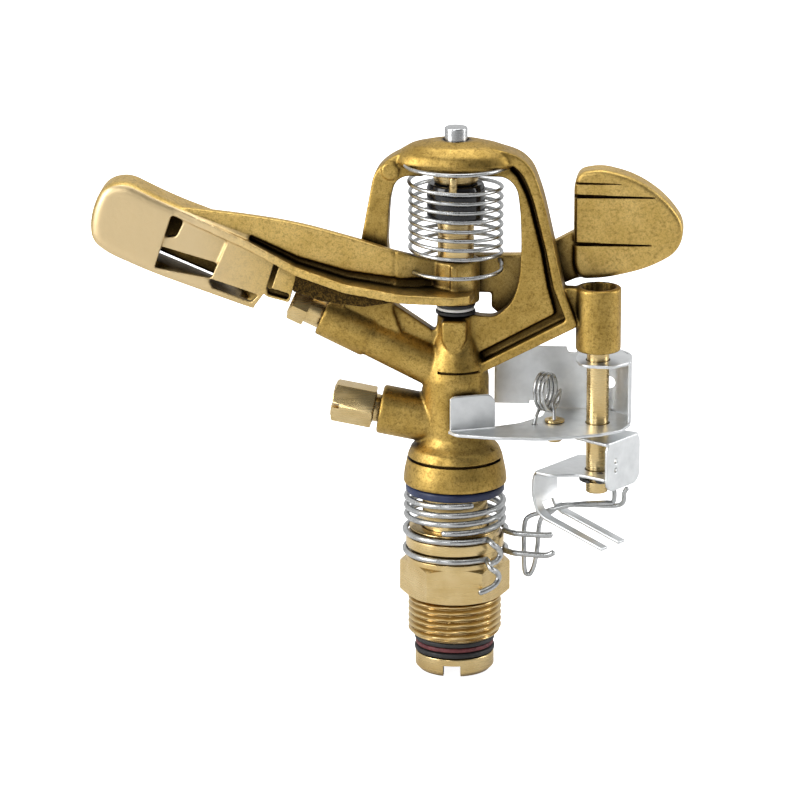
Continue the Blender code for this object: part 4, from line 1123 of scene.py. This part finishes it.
def make_reverse_lever():
    """Folded sheet lever with a back wall, two eyes on the shaft and a stop tab before the neck."""
    floor = slab("reverse_lever_look", outline([
        (-41.0, -12.4), (-38.6, -15.6, 3), (-26, -17.6, 6), (-14, -17.2, 6), (-6, -14.4, 6),
        (1.7, -11.3, 6), (7.2, -6.8, 3), (9.2, -0.6, 2), (8.0, 8.0, 4), (2.0, 13.4, 4), (-9, 14.4),
        (-15.0, 13.6), (-16, 5, 3), (-22, -2.6, 5), (-28.4, -6.3), (-40.4, -11.5),
    ]), REVERSE_FLOOR, REVERSE_FLOOR + SHEET)
    wall_path = [(-30, 14.2), (-9, 14.2)]
    wall_path += [(x, y) for x, y, _ in arc(8.6, 82, 4, 16, 0, (0.3, 5.2))]
    wall_path += [(8.9, 2.2), (8.9, -0.6)]
    back = wall("reverse_wall", wall_path, REVERSE_FLOOR + 0.2, REVERSE_ROOF + 0.6)
    relief = upright("wall_relief", 10, 18, [
        (-35, 72), (-15.4, 72), (-15.4, 75.2), (-20.0, 75.2), (-20.0, 74.2), (-35, 74.2),
    ])
    ear_gap = upright("ear_gap", 10, 18, [
        (-9.8, 92.5), (-6.2, 92.5), (-6.6, 89.6, 0.6), (-9.2, 89.6, 0.6),
    ])
    roof = slab("reverse_roof", outline([
        (-6.4, 1, 4), (-4.5, -6.4, 4), (4.5, -6.8, 4), (9.0, -2.0, 3), (8.9, 5.0, 3), (5.0, 12.6, 3),
        (-4.5, 14.0, 2),
    ]), REVERSE_ROOF, REVERSE_ROOF + SHEET)
    tab = wall("reverse_tab", [(-40.6, -12.1), (-28.2, -7.2)], REVERSE_FLOOR + 0.3, 83.0)
    # The tab's upper corners are rounded by keeping only what lies inside a rounded plate.
    turn = math.atan2(12.1 - 7.2, 40.6 - 28.2)
    plate = upright("tab_plate", -3, 3, [
        (-0.6, 70), (13.2, 70), (13.2, 83.0, 2.8), (-0.2, 83.0, 1.6),
    ])
    spin(plate, turn)
    shift(plate, -40.6, -12.1)
    combine(tab, plate, "INTERSECT")
    cut(back, relief, ear_gap)
    cut(back, lie(rod("wall_hole", 1.75, -20, -4), 2.6, 0, 81.2))
    merge(floor, back, roof, tab)
    eye = rod("reverse_eye", SHAFT_RADIUS + 0.3, 60, 100)
    post_hole = shift(rod("post_hole", 1.9, 70, 76), -12.0, -0.5)
    leg_hole = shift(rod("leg_hole", 1.0, 70, 76), -17.4, -3.6)
    cast(floor, SHEET_VOXEL, 2)
    cut(floor, eye, post_hole, leg_hole)
    shift(floor, SHAFT_X)
    floor.data.shade_smooth()
    show(floor, "reverse", "sheet_steel", "reverse_lever")
    post = turned("spring_post_look", profile_of([
        (0, 74.5), (1.3, 74.5, 0.2), (1.6, 74.3, 0.1), (1.7, 74.1), (2.8, 74.0, 0.2), (2.8, 73.4),
        (1.6, 73.5), (1.6, 71.9), (2.4, 71.9, 0.1), (2.4, 68.2, 0.2), (1.8, 67.6, 0.2), (0, 67.6),
    ]), SMALL)
    shift(post, SHAFT_X - 12.0, -0.5)
    polish(post)
    show(post, "reverse", "machined_brass", "spring_post")


def make_toggle_spring():
    """Over-centre spring: a stubby coil with one leg in the lever and one at the post."""
    loops = []
    for step in range(131):
        angle = 2 * math.pi * step / 40 - math.pi / 2
        along = TOGGLE_LENGTH * (step / 130 - 0.5)
        side = 3.8 * math.cos(angle)
        loops.append((
            -14.4 + along * math.cos(TOGGLE_TURN) - side * math.sin(TOGGLE_TURN),
            -1.5 + along * math.sin(TOGGLE_TURN) + side * math.cos(TOGGLE_TURN),
            82.2 + 5.2 * math.sin(angle),
        ))
    first = smooth_path([(-17.4, -3.6, 68.6), (-17.4, -3.6, 73.5), (-16.9, -3.2, 75.6), loops[0]])
    last = smooth_path([loops[-1], (-12.4, -2.2, 79.3), (-12.0, -3.0, 77.0), (-12.0, -3.4, 74.6)])
    path = first[:-1] + [Vector(point) for point in loops[1:-1]] + last
    spring = shift(wire("toggle_spring_look", path, 0.95), SHAFT_X)
    show(spring, "reverse", "steel_wire", "toggle_spring")


def trip_place(point, deep):
    """A point of the trip lever's own folded frame, relative to the shaft."""
    across, height = point
    x = across * math.cos(TRIP_TURN) - deep * math.sin(TRIP_TURN)
    y = across * math.sin(TRIP_TURN) + deep * math.cos(TRIP_TURN)
    return (x, y, height)


def band(name, path, near, far, thickness=SHEET):
    """A strip of sheet that follows a path of (across, height) and runs from near to far."""
    middle = (near + far) / 2

    def place(point, side):
        return trip_place(point, middle + side)

    return strip(name, path, (far - near) / 2, place, thickness)


def make_trip_lever():
    """Folded sheet lever under the reverse lever, with a forked tongue that holds the trip wire."""
    left = -12.5
    near = -13.1
    floor = slab("trip_lever_look", outline([
        (left, near, 1), (left + 6, near + 0.3, 4), (-1.0, -7.4, 5), (9.0, -7.4, 1), (9.0, 8.4, 2),
        (left + 8, 9.2, 3), (left, 9.2, 2),
    ]), TRIP_FLOOR, TRIP_FLOOR + SHEET)
    spin(floor, TRIP_TURN)
    middle = TRIP_FLOOR + SHEET / 2
    fold = [
        (left + 2.5, middle), (left + 0.6, middle - 0.3), (left - 0.2, middle - 1.5),
        (left - 0.5, middle - 5.5), (left + 0.2, middle - 9.0), (left + 1.6, middle - 11.6),
        (left + 4.2, middle - 13.2),
    ]
    bend = [(point.x, point.y) for point in smooth_path([(x, z, 0) for x, z in fold], 4)]
    tongue = [(left + 3.6, middle - 12.9), (left + 23.6, middle - 18.3)]
    front = band("trip_front_finger", tongue, near + 0.4, near + 3.4)
    back = band("trip_back_finger", tongue, near + 8.6, near + 11.6)
    face = band("trip_face", bend, near + 0.4, near + 11.6)
    side = band("trip_side", [(8.6, TRIP_FLOOR - 3.0), (8.6, TRIP_ROOF + 0.6)], -7.6, 8.2)
    plate = upright("side_plate", -12, -5, [
        (-7.6, TRIP_FLOOR - 3.0, 3.4), (8.2, TRIP_FLOOR - 3.0, 3.4), (8.2, TRIP_ROOF + 0.6, 2.2),
        (-7.6, TRIP_ROOF + 0.6, 2.2),
    ])
    spin(plate, QUARTER + TRIP_TURN)
    combine(side, plate, "INTERSECT")
    roof = slab("trip_roof", outline([
        (-5.5, -4, 3), (-3, -6.8, 3), (9.0, -7.6, 1), (9.0, 8.0, 1), (-3, 6.0, 3), (-6.2, 3, 3),
    ]), TRIP_ROOF, TRIP_ROOF + SHEET)
    spin(roof, TRIP_TURN)
    across = [(left - 3, middle - 12.2), (left + 5.5, middle - 12.2)]
    slit = band("trip_slit", across, near + 3.4, near + 8.6, 6.0)
    for height in (61.6, 64.2):
        hole = shift(spin(rod("side_hole", 0.75, 5, 12, SMALL), QUARTER, "Y"), 0, -3.4, height)
        spin(hole, TRIP_TURN)
        cut(side, hole)
    merge(floor, face, front, back, side, roof)
    cast(floor, SHEET_VOXEL, 2)
    cut(floor, slit, rod("trip_eye", SHAFT_RADIUS + 0.3, 50, 71))
    shift(floor, SHAFT_X)
    floor.data.shade_smooth()
    show(floor, "trip", "sheet_steel", "trip_lever")


def make_trip_wire():
    """Sprung hairpin held by the trip lever, whose hanging loop meets the clips' arms."""
    upper = [(4.6, -1.4, 54.6), (5.0, 0.4, 52.6), (4.6, 1.2, 49.6), (2.0, 0.2, 49.6), (-6, -0.8, 49.2)]
    gate = [(-12.4, -0.9, 47.6), (-14.6, -0.3, 46.6)]
    near_leg = [(-18.6, 0.2, 45.2), (-20.2, 0.0, 43.0), (-20.4, 0.0, 36.0), (-20.2, 0.0, 29.4)]
    loop = [(-19.4, 0.0, 27.9), (-18.4, 0.0, 28.4)]
    far_leg = [(-17.4, 0.0, 31.0), (-16.6, 0.2, 36.0), (-16.2, 0.6, 42.0), (-15.2, 1.0, 44.8)]
    lower = [(-12.8, 0.7, 46.3), (-10.0, 0.9, 48.3), (-4.0, 1.8, 48.3), (4.5, 2.9, 47.9), (7.4, 1.6, 49.4),
             (7.8, 0.6, 52.6), (8.6, 0.2, 54.0)]
    path = smooth_path(upper + gate + near_leg + loop + far_leg + lower, 7)
    piece = shift(wire("trip_wire_look", path, 1.35), SHAFT_X)
    show(piece, "trip", "steel_wire", "trip_wire")


# Studio

def make_floor():
    """A wide pale floor just under the sprinkler, dimmer in reflections than it looks."""
    bpy.ops.mesh.primitive_plane_add(size=40, location=(0, 0, -0.6 * MM))
    floor = bpy.context.object
    floor.name = "studio_floor"
    material = bpy.data.materials.new("floor_paper")
    material.use_nodes = True
    tree = material.node_tree
    shader = tree.nodes["Principled BSDF"]
    shader.inputs["Roughness"].default_value = 0.9
    shader.inputs["Specular IOR Level"].default_value = 0.0
    shader.inputs["Emission Color"].default_value = rgba(1.0, 1.0, 1.0)
    ray = tree.nodes.new("ShaderNodeLightPath").outputs["Is Camera Ray"]
    for socket, reflected, seen in (("Base Color", 0.74, 0.90), ("Emission Strength", 0.0, FLOOR_GLOW)):
        tree.links.new(spread(tree, ray, reflected, seen), shader.inputs[socket])
    floor.data.materials.append(material)


def softbox(name, place, size, power):
    lamp = bpy.data.lights.new(name, "AREA")
    lamp.shape = "RECTANGLE"
    lamp.size, lamp.size_y = size
    lamp.energy = power
    thing = bpy.data.objects.new(name, lamp)
    thing.location = place
    thing.rotation_euler = (Vector(LIGHT_AIM) - Vector(place)).to_track_quat("-Z", "Y").to_euler()
    scene.collection.objects.link(thing)


def make_world():
    """A pale tent, dim towards the front and brighter towards the back."""
    world = bpy.data.worlds.new("studio")
    scene.world = world
    world.use_nodes = True
    tree = world.node_tree
    where = tree.nodes.new("ShaderNodeTexCoord").outputs["Generated"]
    split = tree.nodes.new("ShaderNodeSeparateXYZ")
    tree.links.new(where, split.inputs["Vector"])
    level = spread(tree, split.outputs["Y"], 0.13, 0.70, -0.6, 0.35, "SMOOTHSTEP")
    shader = tree.nodes["Background"]
    shader.inputs["Color"].default_value = rgba(1.0, 1.0, 1.0)
    tree.links.new(level, shader.inputs["Strength"])


def make_camera():
    back = Vector((
        math.sin(CAMERA_TURN) * math.cos(CAMERA_RISE),
        -math.cos(CAMERA_TURN) * math.cos(CAMERA_RISE),
        math.sin(CAMERA_RISE),
    ))
    lens = bpy.data.cameras.new("camera")
    lens.sensor_width = 36.0
    lens.lens = CAMERA_LENS
    camera = bpy.data.objects.new("camera", lens)
    camera.location = Vector(CAMERA_AIM) * MM + back * CAMERA_DISTANCE
    camera.rotation_euler = back.to_track_quat("Z", "Y").to_euler()
    scene.collection.objects.link(camera)
    scene.camera = camera


make_bearing_tube()
make_washers()
make_nipple()
make_clip("upper_trip_clip", "upper_clip", UPPER_CLIP_HEIGHT, -11.0, 28.2,
          [(11.6, 40.6), (13.2, 38.6), (13.6, 36.8), (12.6, 35.4), (10.9, 34.9)], 0.4)
make_clip("lower_trip_clip", "lower_clip", LOWER_CLIP_HEIGHT, -12.5, 29.0,
          [(11.2, 33.6), (12.8, 31.9), (13.2, 30.2), (12.3, 28.6), (10.4, 27.6), (8.2, 27.0)], 1.2)
make_pressure_spring()
make_body()
make_main_nozzle()
make_spreader_nozzle()
make_pin_stack()
make_arm_spring()
make_arm()
make_trip_shaft()
make_reverse_lever()
make_toggle_spring()
make_trip_lever()
make_trip_wire()

make_floor()
softbox("key", (-1.0, -0.55, 0.50), (0.6, 0.9), 10.5)
softbox("fill", (1.1, 0.15, 0.45), (0.35, 0.8), 4)
softbox("top", (0.0, 0.0, 1.2), (0.9, 0.7), 5)
softbox("front", (-0.45, -1.5, 0.75), (0.35, 0.5), 4)
make_world()
make_camera()
scene.view_settings.view_transform = "Standard"
